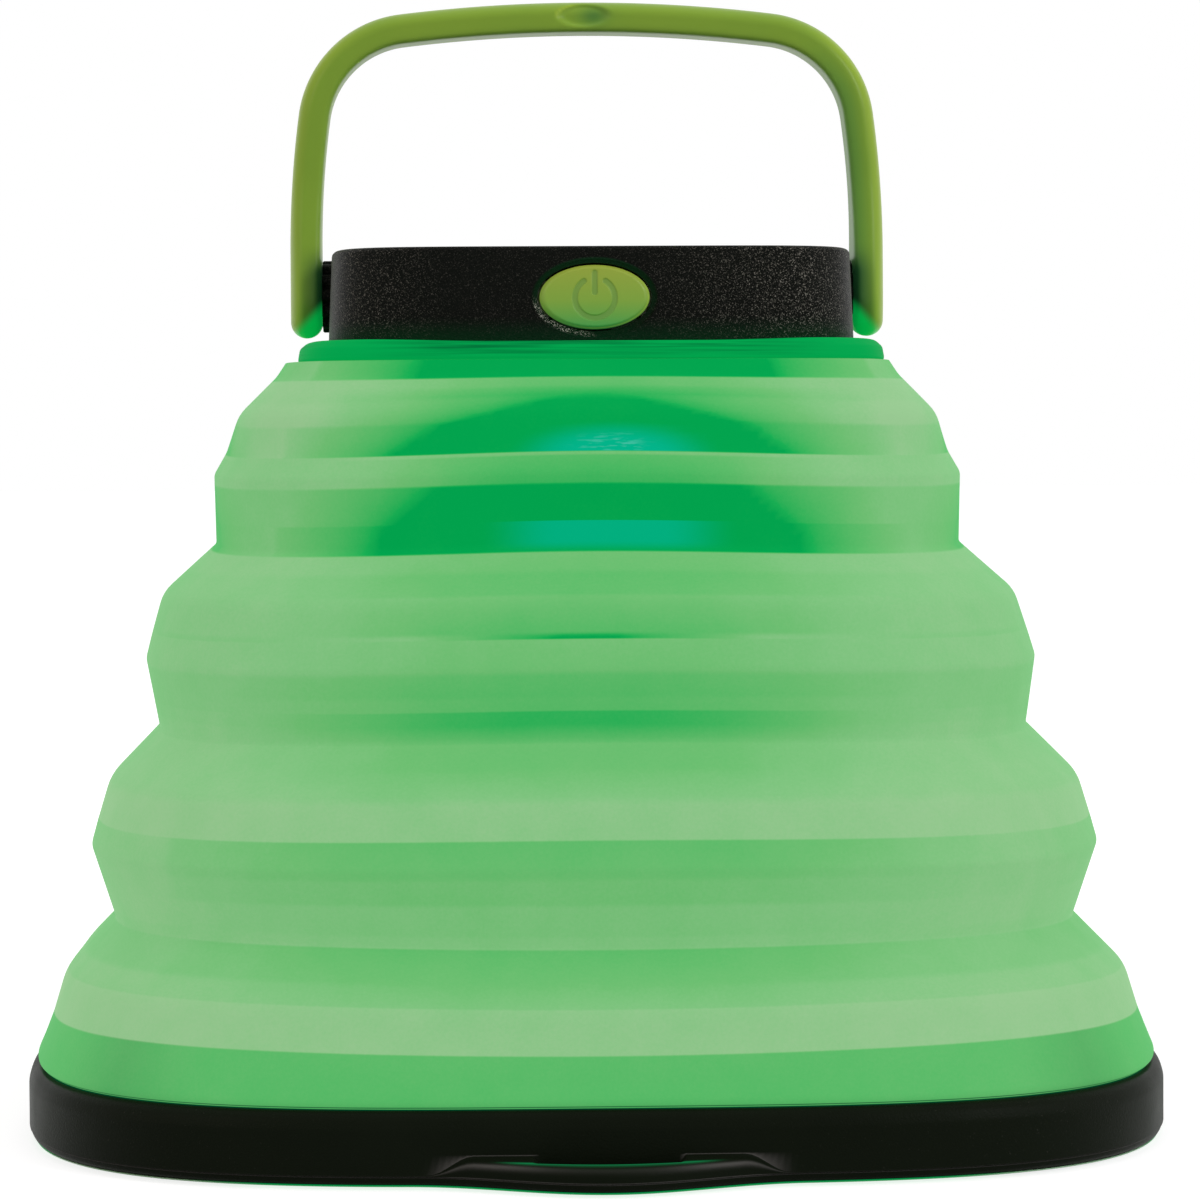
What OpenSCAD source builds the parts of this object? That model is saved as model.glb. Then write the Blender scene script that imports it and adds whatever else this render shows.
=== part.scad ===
// Collapsible camping lantern: a soft folding shade between a square base and a solar head.
// Millimetres, +Z up. The origin is the middle of the face that the lantern stands on.
// The power button and the finger lip face -Y, and the carrying handle turns about X.

/* [Base] */
// Width of the base across its flats
base_w = 113.7; // [100:0.1:130]
// Height of the base ring's top edge above the ground
base_h = 7; // [6.4:0.1:10]
// Wall of the base ring
base_wall = 1.4; // [1:0.1:1.8]
// Squareness of the base and shade outline, where 2 is round
shade_power = 3.5; // [3:0.1:5]
// Height of the seam between the base ring and the base cover
seam_z = 1.15; // [0.8:0.05:1.4]
// Thickness of the window's thin rim, which the lantern stands on
window_rim = 0.3; // [0.2:0.05:0.5]
// Distance of that rim's edge inside the base outline
window_inset = 0.5; // [0.2:0.1:1.5]
// Thickness of the bottom window's middle
window_t = 1.4; // [1:0.1:2]
// Height of the ledge's underside above the ground
ledge_z = 2.6; // [2.5:0.1:3]
// Width of the ledge that the shade's foot is clamped on
ledge_w = 9; // [8:0.5:14]
// Thickness of that ledge
ledge_t = 1.4; // [1:0.1:1.6]
// Number of screws that hold the base together
base_screws_n = 8; // [4:4:8]

/* [Finger lip] */
// How far the lip stands out of the base at its middle
lip_out = 5; // [2:0.1:8]
// Half the width of the lip, with its blends into the base
lip_half = 19; // [12:0.5:30]
// Height of the lip's top edge
lip_h = 2.6; // [2.2:0.1:3.2]
// Width of the slot between the lip and the base wall
slot_w = 1.9; // [1:0.1:2.5]
// Half the length of the slot
slot_half = 12; // [6:0.5:15]

/* [Folding shade] */
// Wall of the soft shade
shade_wall = 1.2; // [0.8:0.1:1.6]
// Distance of each fold's crest inside the base outline, lowest fold first
crest_inset = [2.4, 6.85, 12.55, 20.25]; // [1:0.05:30]
// Height of the lowest crest above the base ring
first_crest_rise = 4.75; // [4:0.05:7]
// Height from each crest to the next, lowest first
crest_pitch = [18.85, 18.3, 18.2]; // [16:0.05:22]
// Height of the belly under each crest
belly_drop = 3; // [2:0.1:4]
// How far the belly stands out beyond its crest
belly_out = 0.6; // [0:0.05:1.2]
// Height from a crest to the shoulder above it
shoulder_rise = 4.4; // [3:0.1:6]
// Step in from a crest to its shoulder
shoulder_in = 1.7; // [1:0.05:2.5]
// Height from a crest to the valley above it
valley_rise = 9; // [7.5:0.1:10]
// Step in from a crest to the valley above it
valley_in = 6.2; // [4:0.1:7]
// Lift of the folds at the middle of each side, where they arch
arch = 0.3; // [0:0.05:0.6]
// Width of the shade's flange, which is clamped at its foot
shade_flange = 4; // [3:0.1:5]

/* [Head] */
// Width across the flats of the collar, which the head and its handle follow
collar_w = 59.2; // [57:0.1:66]
// Height of the collar
collar_h = 1.5; // [1.2:0.1:2.5]
// Step in from the collar to the foot of the head
head_in = 3.1; // [2.5:0.1:4]
// Step in from the foot of the head to its top edge
head_taper = 0.4; // [0:0.1:0.8]
// Height of the head housing
head_h = 9.3; // [9:0.1:12]
// Squareness of the head outline
head_power = 4.5; // [4:0.1:6]
// Wall of the head housing
head_wall = 1.6; // [1.4:0.1:1.8]
// Radius of the housing's top edge
head_edge = 0.9; // [0.5:0.1:1.2]
// Thickness of the head gasket
gasket_t = 0.3; // [0.2:0.05:0.6]
// Thickness of the chassis rim under the shade's top flange
chassis_rim = 1.5; // [1:0.1:2]

/* [Solar panel] */
// Border of the head round the solar panel
panel_border = 3.4; // [3.1:0.1:5]
// Border of the panel round its cells
cell_border = 3.4; // [3.2:0.1:5]
// Thickness of the panel's board
panel_t = 0.8; // [0.6:0.1:1.2]
// Thickness of the solar cells
cell_t = 0.25; // [0.2:0.05:0.4]
// Thickness of the clear cover over the cells
cover_t = 0.95; // [0.6:0.05:1]
// Number of cell strips
cell_n = 8; // [4:1:12]
// Gap between the cell strips
cell_gap = 0.5; // [0.3:0.1:1]

/* [Power button] */
// Half the width of the button
button_a = 5.45; // [4.5:0.05:6]
// Half the height of the button
button_b = 3.2; // [2.4:0.05:3.2]
// How far the button's middle stands out of the head
button_dome = 0.25; // [0.1:0.05:0.3]
// Travel of the button
button_travel = 0.5; // [0.3:0.05:0.6]
// Width of the dished bevel round the button
bevel_w = 0.9; // [0.5:0.1:1.2]
// Depth of that bevel
bevel_d = 0.45; // [0.2:0.05:0.6]
// Radius of the power symbol's ring
symbol_r = 1.7; // [1:0.1:1.8]
// Line width of the power symbol
symbol_line = 0.45; // [0.3:0.05:0.5]
// Depth of the power symbol
symbol_d = 0.15; // [0.1:0.05:0.25]

/* [Handle] */
// Gap between the head and each leg
leg_gap = 0.72; // [0.6:0.01:2]
// Thickness of the handle seen from the front
handle_t = 3.48; // [2.8:0.01:3.5]
// Depth of the handle seen from the side
handle_depth = 5.6; // [4:0.1:7]
// Radius of the round end of each leg
leg_end_r = 4.3; // [3.6:0.1:4.4]
// Height of the straight part of each leg above its pivot
leg_straight = 4.7; // [4.5:0.1:8]
// Radius of the slow bend of each leg
leg_bend_r = 102; // [80:1:160]
// Turn of that bend in degrees
leg_turn = 7.8; // [5:0.1:9]
// Radius of the handle's corners
corner_r = 10.4; // [8:0.1:12]
// Angle at which the corner runs into the crossbar
corner_end = 83; // [80:0.5:85]
// Radius of the pivot pins
pin_r = 1.5; // [1.2:0.05:1.8]
// Radius of the notched detent discs
detent_r = 3.8; // [3:0.1:4]
// Distance of the pivot below the top of the head
pivot_drop = 4; // [3.5:0.1:4.5]

/* [Electronics] */
// Gap between the main board and the head's wall
board_gap = 3.65; // [3:0.05:4.5]
// Thickness of the circuit boards
board_t = 1; // [0.8:0.1:1.2]
// Strip of the main board in front of the battery and behind it
battery_strip = 8.25; // [8:0.05:10]
// Thickness of the battery
battery_t = 3.8; // [3:0.1:4]
// Gap between the battery and the board's screws
battery_gap = 1.2; // [0.8:0.1:3]
// Radius of the lamp post below the head
post_r = 5; // [4.5:0.1:6]
// Height of the lamp post
post_h = 9; // [8:0.1:10]
// Radius of the lamp cover
lamp_r = 12; // [11:0.1:14]
// Wall of the lamp cover
lamp_wall = 1; // [0.8:0.1:1.4]
// Height of the lamp cover
lamp_h = 11.5; // [11:0.1:13]
// Width, depth and height of the charging socket
socket = [7.6, 5.4, 2.8]; // [2:0.1:8]
// Thickness of the rubber cover over the charging socket
flap_t = 1; // [0.8:0.1:1.2]

/* [Fits] */
// Gap between pieces that sit in each other
seat_gap = 0.15; // [0.1:0.05:0.2]
// Gap between pieces that move past each other
move_gap = 0.25; // [0.2:0.05:0.3]
// Gap round the pivot pins
pin_gap = 0.05; // [0.02:0.01:0.1]
// Gap at clamped faces and under screw threads
touch_gap = 0.05; // [0.02:0.01:0.1]

/* [Hidden] */

round_n = 64;       // points round the shade and the head
base_n = 120;       // points round the base, whose lip needs more
fine = 48;          // facets of a drawn circle, which stays a true cylinder
over = 1;           // how far a cut runs past the face that it opens

base_half = base_w / 2;
collar_half = collar_w / 2;
head_half = collar_half - head_in;
head_top_half = head_half - head_taper;
panel_half = head_top_half - panel_border;

// base, from the ground up
ring_inner = base_half - base_wall;
foot_z = ledge_z + ledge_t;                 // underside of the shade's foot flange
clamp_z = foot_z + shade_wall;              // top of that flange
clamp_t = 1.4;
ledge_inner = ring_inner - ledge_w;
shade_foot_half = ring_inner - seat_gap;
clamp_half = shade_foot_half - shade_wall - seat_gap;
clamp_step = shade_foot_half - shade_flange - seat_gap;
window_lap = 1;
window_half = ledge_inner - window_lap;
base_screw_half = (clamp_step + ledge_inner) / 2;
screw_r = 0.9;
screw_head_r = 1.8;
screw_head_h = 1.1;
boss_r = 2.6;
boss_rise = 3.5;
clamp_boss_z = clamp_z + boss_rise;

// shade, from the foot up
crest_z = [
    base_h + first_crest_rise,
    base_h + first_crest_rise + crest_pitch[0],
    base_h + first_crest_rise + crest_pitch[0] + crest_pitch[1],
    base_h + first_crest_rise + crest_pitch[0] + crest_pitch[1] + crest_pitch[2]
];
shade_top = crest_z[3] + valley_rise;
mouth_half = collar_half + 0.9;             // shade's top edge, just outside the collar
mouth_wall = mouth_half - shade_wall;

// head, from the collar up
collar_z = shade_top + touch_gap;
gasket_z = collar_z + collar_h;
head_z = gasket_z + gasket_t;
head_top = head_z + head_h;
inner_half = head_half - head_wall;
plug_half = inner_half - seat_gap;          // chassis hub inside the collar
chassis_top = gasket_z - 0.4;
rim_top = shade_top - shade_wall - touch_gap;
rim_half = mouth_wall - 2;
// the hub is squarer than the hole in the shade's flange, so the two are closest at their corners
mouth_hole = plug_half * pow(2, 1 / shade_power - 1 / head_power) + seat_gap;
board_z = chassis_top + 2;
board_top = board_z + board_t;
panel_gap = 0.2;                            // the panel's cover lies this far below the head's edge
panel_z = head_top - panel_gap - cover_t - cell_t - panel_t;
panel_ledge = 1;                            // thickness of the ledge that carries the panel
ledge_half = panel_half - 1.8;
battery_z = board_top + 0.5;
head_screw_at = inner_half - 7.4;
board_screw_r = 1.6;                        // radius of its screws' heads
board_w = 2 * (inner_half - board_gap);
board_screw_at = [board_w / 2 - 1.7, 9];
battery = [
    2 * (board_screw_at[0] - board_screw_r - battery_gap),
    board_w - 2 * battery_strip,
    battery_t
];
lead_x = 5;                                 // the battery's leads, each side of the middle
chip = [4, 4, 1];
resistor = [0.8, 1.6, 0.6];

// button and switch
button_z = head_z + 4.15;
face_y = -(head_half + head_top_half) / 2;  // front of the head at the button
flange_t = 0.7;
flange_y = face_y + head_wall + move_gap;
plunger_r = 1.2;
plunger_y = flange_y + flange_t;
switch_y = plunger_y + 1.1;
switch_size = [6, 3.5, board_top + 3.7];

// handle
pivot_z = head_top - pivot_drop;
leg_inner = head_half + leg_gap;
leg_x = leg_inner + handle_t / 2;
detent_face = leg_inner - move_gap;
pin_end = inner_half - 0.8;

// lamp below the head
chassis_foot = rim_top - chassis_rim;
post_z = chassis_foot - post_h;
lamp_z = chassis_foot - lamp_h;
lamp_flange_r = lamp_r + 4;
lamp_screw_r = lamp_r + 2.1;
led_board = [7, board_t, post_h - 1];
led_size = [2.8, 0.9, 3.5];
lead_r = 0.4;

// charging socket and its cover
socket_y = inner_half - socket[1] - seat_gap;
socket_z = board_top + socket[2] / 2;
back_y = -face_y;
flap_size = [13, 5.6];
flap_foot = socket_z - 2.6;
flap_hinge_z = flap_foot + flap_t / 2;
plug_size = [8.2, 3.2];

// one point of a squared circle, which reaches half across its flats
function squared(half, power, t) =
    let (r = half * pow(pow(abs(cos(t)), power) + pow(abs(sin(t)), power), -1 / power))
    [r * cos(t), r * sin(t)];

// how far the lip stands out at x, from 0 at its ends to 1 in its middle
function lip_share(x) = abs(x) < lip_half ? (1 + cos(180 * x / lip_half)) / 2 : 0;

function outline(half, power) = [for (i = [0 : round_n - 1]) squared(half, power, 360 * i / round_n)];

// one point of the base's outline, with the lip's bulge on its front
function base_point(half, lip, t) =
    let (p = squared(half, shade_power, t))
    [p[0], p[1] - (p[1] < 0 ? lip * lip_share(p[0]) : 0)];

function base_outline(half, lip = 0) = [for (i = [0 : base_n - 1]) base_point(half, lip, 360 * i / base_n)];

function ellipse(a, b) = [for (i = [0 : round_n - 1]) [a * cos(360 * i / round_n), b * sin(360 * i / round_n)]];

// a closed profile of [half width, z, arch, lip] carried round the base's outline in n steps
module sweep_square(profile, n) {
    m = len(profile);
    points = [
        for (k = [0 : m - 1]) for (i = [0 : n - 1])
            let (t = 360 * i / n, p = base_point(profile[k][0], profile[k][3], t))
            [p[0], p[1], profile[k][1] + profile[k][2] * cos(4 * t)]
    ];
    faces = [
        for (k = [0 : m - 1]) for (i = [0 : n - 1])
            let (a = k * n + i, b = k * n + (i + 1) % n, below = ((k + 1) % m - k) * n)
            each [[a, b + below, b], [a, a + below, b + below]]
    ];
    polyhedron(points, faces, convexity = 8);
}

// rings of [x, y, z] points joined in order and closed at both ends
module loft(rings) {
    n = len(rings[0]);
    m = len(rings);
    points = [for (ring = rings) each ring];
    sides = [
        for (k = [0 : m - 2]) for (i = [0 : n - 1])
            let (a = k * n + i, b = k * n + (i + 1) % n)
            each [[a, b + n, b], [a, a + n, b + n]]
    ];
    ends = [[for (i = [0 : n - 1]) i], [for (i = [n - 1 : -1 : 0]) (m - 1) * n + i]];
    polyhedron(points, concat(sides, ends), convexity = 6);
}

module plate(points, z, height) {
    translate([0, 0, z]) linear_extrude(height = height) polygon(points);
}

module disc(r, z, height) {
    translate([0, 0, z]) cylinder(h = height, r = r, $fn = fine);
}

// a flat ring between two outlines
module flat_ring(outer, inner, z, height) {
    difference() {
        plate(outer, z, height);
        plate(inner, z - over, height + 2 * over);
    }
}

// places its children at points spread round a squared circle
module round_base() {
    for (i = [0 : base_screws_n - 1])
        let (p = squared(base_screw_half, shade_power, 360 * i / base_screws_n))
        translate([p[0], p[1], 0]) children();
}

module four_corners(at) {
    for (x = [-1, 1]) for (y = [-1, 1]) translate([x * at[0], y * at[1], 0]) children();
}

// a cylinder along +Y that starts at y
module along_y(r, y, length) {
    translate([0, y, 0]) rotate([-90, 0, 0]) cylinder(h = length, r = r, $fn = fine);
}

// an elliptical plate that faces -Y
module oval(a, b, y, depth) {
    translate([0, y + depth, button_z]) rotate([90, 0, 0])
        linear_extrude(height = depth) polygon(ellipse(a, b));
}

module screw(z, length) {
    disc(screw_head_r, z, screw_head_h);
    disc(screw_r, z + screw_head_h, length - screw_head_h);
}

// ---- base ----

module lip_slot() {
    front = [for (i = [-8 : 8]) let (x = slot_half * i / 8) [x, front_y(x) - slot_w * cos(90 * x / slot_half)]];
    back = [for (i = [8 : -1 : -8]) let (x = slot_half * i / 8) [x, front_y(x) + 0.01]];
    plate(concat(front, back), seam_z + 0.6, base_h);
}

// y of the base's plain front at x
function front_y(x) = -pow(pow(base_half, shade_power) - pow(abs(x), shade_power), 1 / shade_power);

module base_ring() {
    color([0.07, 0.08, 0.06]) difference() {
        sweep_square([
            [ring_inner, seam_z, 0, 0],
            [base_half, seam_z, 0, lip_out],
            [base_half, lip_h - 0.7, 0, lip_out],
            [base_half, lip_h - 0.3, 0, lip_out - 0.3],
            [base_half, lip_h, 0, lip_out - 1],
            [base_half, lip_h + 0.1, 0, 0],
            [base_half, base_h - 1.6, 0, 0],
            [base_half - 0.2, base_h - 0.8, 0, 0],
            [base_half - 0.5, base_h - 0.2, 0, 0],
            [base_half - 0.8, base_h, 0, 0],
            [ring_inner, base_h, 0, 0],
            [ring_inner, foot_z, 0, 0],
            [ledge_inner, foot_z, 0, 0],
            [ledge_inner, ledge_z, 0, 0],
            [ring_inner, ledge_z, 0, 0]
        ], base_n);
        lip_slot();
        round_base() disc(screw_r + seat_gap, 0, base_h);
    }
}

module base_cover() {
    color([0.09, 0.1, 0.08]) difference() {
        union() {
            plate(base_outline(base_half - 0.15, lip_out), window_rim, seam_z - touch_gap - window_rim);
            plate(base_outline(ring_inner - seat_gap), window_rim, ledge_z - touch_gap - window_rim);
        }
        plate(base_outline(window_half), 0, base_h);
        round_base() disc(screw_head_r + seat_gap, 0, ledge_z - 0.7);
        round_base() disc(screw_r + seat_gap, 0, base_h);
    }
}

module bottom_window() {
    color([0.85, 0.95, 0.85, 0.8]) union() {
        plate(base_outline(base_half - window_inset, lip_out), 0, window_rim - touch_gap);
        plate(base_outline(window_half - seat_gap), 0, window_t);
    }
}

module shade_clamp() {
    color([0.1, 0.1, 0.1]) difference() {
        union() {
            flat_ring(
                outline(clamp_half, shade_power), base_outline(ledge_inner),
                clamp_z + touch_gap, clamp_t
            );
            flat_ring(
                outline(clamp_step, shade_power), base_outline(ledge_inner),
                foot_z + touch_gap, clamp_t + shade_wall
            );
            round_base() disc(boss_r, foot_z + touch_gap, clamp_boss_z - foot_z);
        }
        round_base() disc(screw_r + touch_gap, 0, clamp_boss_z - 0.8);
    }
}

module base_screws() {
    head_z = ledge_z - 0.7 - screw_head_h - touch_gap;
    color([0.6, 0.6, 0.62]) round_base() screw(head_z, clamp_boss_z - 1.2 - head_z);
}

// ---- folding shade ----

// outer profile from the foot up, as [half width, z, arch]
function shade_outer() = concat(
    [
        [shade_foot_half, foot_z + touch_gap, 0],
        [shade_foot_half, base_h, 0],
        [base_half - 0.95, base_h + 0.45, 0],
        [base_half - 0.88, base_h + 0.9, 0]
    ],
    [
        for (i = [0 : 3])
            let (crest = base_half - crest_inset[i], lift = i < 1 ? -0.3 : arch * i / 3)
            each [
                if (i > 0) [crest + belly_out - 0.1, crest_z[i] - belly_drop - 2.5, lift],
                [crest + (i > 0 ? belly_out : 0.85), crest_z[i] - (i > 0 ? belly_drop : 1.95), lift],
                [crest, crest_z[i], lift],
                [crest - shoulder_in / 2, crest_z[i] + shoulder_rise / 2 + 0.4, lift],
                [crest - shoulder_in, crest_z[i] + shoulder_rise, lift],
                if (i < 3) [crest - valley_in, crest_z[i] + valley_rise, lift + arch / 4]
            ]
    ],
    [[mouth_half, shade_top, 0]]
);

// the same profile a wall further in, from the top down
function shade_inner() =
    let (p = shade_outer(), n = len(p))
    concat(
        [[mouth_hole, shade_top, 0]],
        [[mouth_hole, shade_top - shade_wall, 0]],
        [[mouth_wall, shade_top - shade_wall, 0]],
        [for (i = [n - 2 : -1 : 2]) [p[i][0] - shade_wall, p[i][1], p[i][2]]],
        [
            [shade_foot_half - shade_wall, base_h - 0.2, 0],
            [shade_foot_half - shade_wall, clamp_z, 0],
            [shade_foot_half - shade_flange, clamp_z, 0],
            [shade_foot_half - shade_flange, foot_z + touch_gap, 0]
        ]
    );

module shade() {
    profile = [for (p = concat(shade_outer(), shade_inner())) [p[0], p[1], p[2], 0]];
    color([0.55, 0.82, 0.55, 0.9]) sweep_square(profile, round_n);
}

// ---- head ----

module collar() {
    color([0, 0.55, 0.3, 0.9]) difference() {
        union() {
            plate(outline(collar_half, shade_power), collar_z, collar_h - 0.5);
            plate(outline(collar_half - 0.35, shade_power), collar_z, collar_h - 0.2);
            plate(outline(collar_half - 0.9, shade_power), collar_z, collar_h);
        }
        plate(outline(inner_half, head_power), 0, head_top);
    }
}

module head_gasket() {
    color([0.03, 0.03, 0.03])
        flat_ring(
            outline(head_half - 0.5, head_power), outline(inner_half, head_power),
            gasket_z + touch_gap, gasket_t - 2 * touch_gap
        );
}

// the housing's skin: a tapering squared circle with a round top edge
module head_skin() {
    steps = 4;
    function ring(half, z) = [for (p = outline(half, head_power)) [p[0], p[1], z]];
    loft(concat(
        [ring(head_half, head_z)],
        [
            for (k = [0 : steps])
                ring(head_top_half - head_edge * (1 - cos(90 * k / steps)), head_top - head_edge * (1 - sin(90 * k / steps)))
        ]
    ));
}

module detent_disc() {
    notch_n = 8;
    difference() {
        translate([inner_half, 0, pivot_z]) rotate([0, 90, 0])
            cylinder(h = detent_face - inner_half, r = detent_r, $fn = fine);
        for (i = [0 : notch_n - 1])
            translate([head_half + 0.1, 0, pivot_z]) rotate([360 * (i + 0.5) / notch_n, 0, 0])
                translate([0, -0.5, detent_r - 1]) cube([head_wall, 1, head_wall]);
    }
}

module head_housing() {
    color([0.08, 0.09, 0.07]) difference() {
        union() {
            difference() {
                head_skin();
                plate(outline(inner_half, head_power), 0, panel_z - panel_ledge);
                plate(outline(ledge_half, head_power), 0, head_top + over);
                plate(outline(panel_half + seat_gap, head_power), panel_z, head_h);
            }
            for (side = [0, 1]) mirror([side, 0, 0]) detent_disc();
            four_corners([head_screw_at, head_screw_at])
                disc(boss_r, chassis_top + touch_gap, panel_z - chassis_top - touch_gap - panel_ledge / 2);
        }
        translate([-detent_face - over, 0, pivot_z]) rotate([0, 90, 0])
            cylinder(h = 2 * (detent_face + over), r = pin_r + pin_gap, $fn = fine);
        oval(button_a + move_gap, button_b + move_gap, face_y - over, head_wall + 2 * over);
        button_bevel();
        four_corners([head_screw_at, head_screw_at])
            disc(screw_r + touch_gap, 0, panel_z - panel_ledge - 0.4);
        flap_recess();
    }
}

module button_bevel() {
    a = button_a + move_gap;
    b = button_b + move_gap;
    function ring(grow, y) = [for (p = ellipse(a + grow, b + grow)) [p[0], y, button_z + p[1]]];
    loft([ring(-0.1, face_y + bevel_d + 0.1), ring(bevel_w, face_y), ring(bevel_w + 0.3, face_y - 0.6)]);
}

module flap_recess() {
    w = flap_size[0] / 2 + move_gap;
    hinge_r = flap_t / 2 + move_gap;
    translate([-w, back_y - flap_t, flap_hinge_z])
        cube([2 * w, 2 * flap_t, flap_foot + flap_size[1] + move_gap - flap_hinge_z]);
    translate([-w, back_y - flap_t / 2, flap_hinge_z]) rotate([0, 90, 0])
        cylinder(h = 2 * w, r = hinge_r, $fn = fine);
    translate([-w, back_y - flap_t / 2, flap_hinge_z - hinge_r]) cube([2 * w, 2 * flap_t, hinge_r]);
    translate([-plug_size[0] / 2 - move_gap, 0, socket_z - plug_size[1] / 2 - move_gap])
        cube([plug_size[0] + 2 * move_gap, head_half + over, plug_size[1] + 2 * move_gap]);
}

module chassis() {
    color([0.85, 0.86, 0.84]) difference() {
        union() {
            plate(outline(rim_half, head_power), chassis_foot, chassis_rim);
            plate(outline(plug_half, head_power), chassis_foot, chassis_top - chassis_foot);
            four_corners(board_screw_at) disc(2.2, chassis_top, board_z - chassis_top - touch_gap);
        }
        four_corners([head_screw_at, head_screw_at]) {
            disc(screw_head_r + seat_gap, 0, chassis_foot + screw_head_h + 0.3);
            disc(screw_r + seat_gap, 0, head_top);
        }
        four_corners(board_screw_at) disc(screw_r + touch_gap, chassis_foot + 1, head_top);
        led_places() disc(lead_r + seat_gap, 0, head_top);
        lamp_screw_places() disc(screw_r + touch_gap, 0, chassis_top - 1);
    }
}

module head_screws() {
    top = panel_z - panel_ledge - 0.8;
    z = chassis_foot + 0.25;
    color([0.6, 0.6, 0.62]) four_corners([head_screw_at, head_screw_at]) screw(z, top - z);
}

// ---- solar panel ----

module panel_board() {
    color([0.05, 0.06, 0.12]) plate(outline(panel_half, head_power), panel_z + touch_gap, panel_t - touch_gap);
}

module solar_cells() {
    field = 2 * (panel_half - cell_border);
    pitch = field / cell_n;
    color([0.06, 0.08, 0.22]) for (i = [0 : cell_n - 1])
        translate([-field / 2 + i * pitch + cell_gap / 2, -field / 2, panel_z + panel_t])
            cube([pitch - cell_gap, field, cell_t - touch_gap]);
}

module panel_cover() {
    color([0.75, 0.8, 0.9, 0.35])
        plate(outline(panel_half, head_power), panel_z + panel_t + cell_t, cover_t);
}

module solar_leads() {
    color("crimson") for (x = [-1.5, 1.5])
        translate([x, battery[1] / 2 + 2, 0]) disc(lead_r, board_top, panel_z - board_top);
}

// ---- electronics ----

module main_board() {
    color([0.05, 0.35, 0.2]) difference() {
        translate([-board_w / 2, -board_w / 2, board_z]) cube([board_w, board_w, board_t]);
        four_corners([head_screw_at, head_screw_at]) disc(boss_r + seat_gap, 0, head_top);
        for (turn = [0 : 3]) rotate([0, 0, 90 * turn]) translate([head_screw_at, head_screw_at, board_z - over])
            cube([board_w, board_w, head_h]);
        four_corners(board_screw_at) disc(screw_r + seat_gap, 0, head_top);
    }
}

module board_screws() {
    length = 3.4;
    color([0.6, 0.6, 0.62]) four_corners(board_screw_at) {
        disc(board_screw_r, board_top, 0.8);
        disc(screw_r, board_top - length, length);
    }
}

module control_chips() {
    color([0.12, 0.12, 0.12]) for (side = [-1, 1]) {
        translate([side * (lead_x + chip[0]) - chip[0] / 2, battery[1] / 2 + 1, board_top]) cube(chip);
        for (i = [1 : 3])
            translate([
                side * (switch_size[0] / 2 + 2 * resistor[0] * (i + 1)) - resistor[0] / 2,
                -board_w / 2 + 1.5 * resistor[1], board_top
            ]) cube(resistor);
    }
}

module push_switch() {
    color([0.75, 0.75, 0.72]) difference() {
        translate([-switch_size[0] / 2, switch_y, board_top])
            cube([switch_size[0], switch_size[1], switch_size[2] - board_top]);
        translate([0, 0, button_z]) along_y(plunger_r + move_gap / 2, switch_y - over, over + 2.2);
    }
}

module switch_plunger() {
    color([0.1, 0.1, 0.1]) translate([0, 0, button_z])
        along_y(plunger_r, plunger_y, switch_y - plunger_y + 2.2 - button_travel - move_gap);
}

module charging_socket() {
    wall = 0.4;
    color([0.7, 0.7, 0.72]) difference() {
        translate([-socket[0] / 2, socket_y, board_top]) cube(socket);
        translate([-socket[0] / 2 + wall, socket_y + 1.5, board_top + wall])
            cube([socket[0] - 2 * wall, socket[1], socket[2] - 2 * wall]);
    }
    color([0.1, 0.1, 0.1]) translate([-2, socket_y + 1.5, socket_z - 0.2])
        cube([4, socket[1] - 2.5, 0.5]);
}

module battery() {
    color([0.55, 0.58, 0.62])
        translate([-battery[0] / 2, -battery[1] / 2, battery_z]) cube(battery);
}

module battery_pad() {
    color([0.2, 0.2, 0.22]) translate([-battery[0] / 2 + 3, -battery[1] / 2 + 3, board_top])
        cube([battery[0] - 6, battery[1] - 6, battery_z - board_top]);
}

module battery_leads() {
    out = 1.2;
    z = battery_z + battery[2] / 2;
    color([0.1, 0.1, 0.1]) for (x = [-lead_x, lead_x]) translate([x, battery[1] / 2, 0]) {
        translate([0, 0, z]) along_y(lead_r, 0, out);
        translate([0, out, z]) sphere(r = lead_r, $fn = 24);
        translate([0, out, 0]) disc(lead_r, board_top, z - board_top);
    }
}

// ---- lamp ----

// places its children at the middle of each of the post's four sides
module led_places() {
    for (i = [0 : 3]) rotate([0, 0, 90 * i]) translate([0, -post_r - board_t / 2, 0]) children();
}

module lamp_screw_places() {
    for (i = [0 : 3]) rotate([0, 0, 45 + 90 * i]) translate([lamp_screw_r, 0, 0]) children();
}

module lamp_post() {
    color([0.92, 0.92, 0.9]) translate([-post_r, -post_r, post_z])
        cube([2 * post_r, 2 * post_r, post_h - touch_gap]);
}

module led_boards() {
    color([0.9, 0.92, 0.9]) led_places()
        translate([-led_board[0] / 2, -led_board[1] / 2, post_z + 0.5]) cube(led_board);
}

module leds() {
    color([0.95, 0.9, 0.5]) led_places()
        translate([-led_size[0] / 2, -board_t / 2 - led_size[1], post_z + 0.5 + (led_board[2] - led_size[2]) / 2])
            cube(led_size);
}

module led_leads() {
    z = post_z + 0.5 + led_board[2];
    color([0.8, 0.1, 0.1]) led_places() disc(lead_r, z, board_z - z);
}

module lamp_cover() {
    color([0.95, 0.97, 0.95, 0.6]) difference() {
        union() {
            disc(lamp_r, lamp_z, lamp_h - touch_gap);
            disc(lamp_flange_r, chassis_foot - 1.2, 1.2 - touch_gap);
        }
        disc(lamp_r - lamp_wall, lamp_z + lamp_wall, lamp_h);
        lamp_screw_places() disc(screw_r + seat_gap, 0, head_top);
    }
}

module lamp_screws() {
    z = chassis_foot - 1.2 - screw_head_h;
    color([0.6, 0.6, 0.62]) lamp_screw_places() screw(z, chassis_top - 1.4 - z);
}

// ---- button ----

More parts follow.
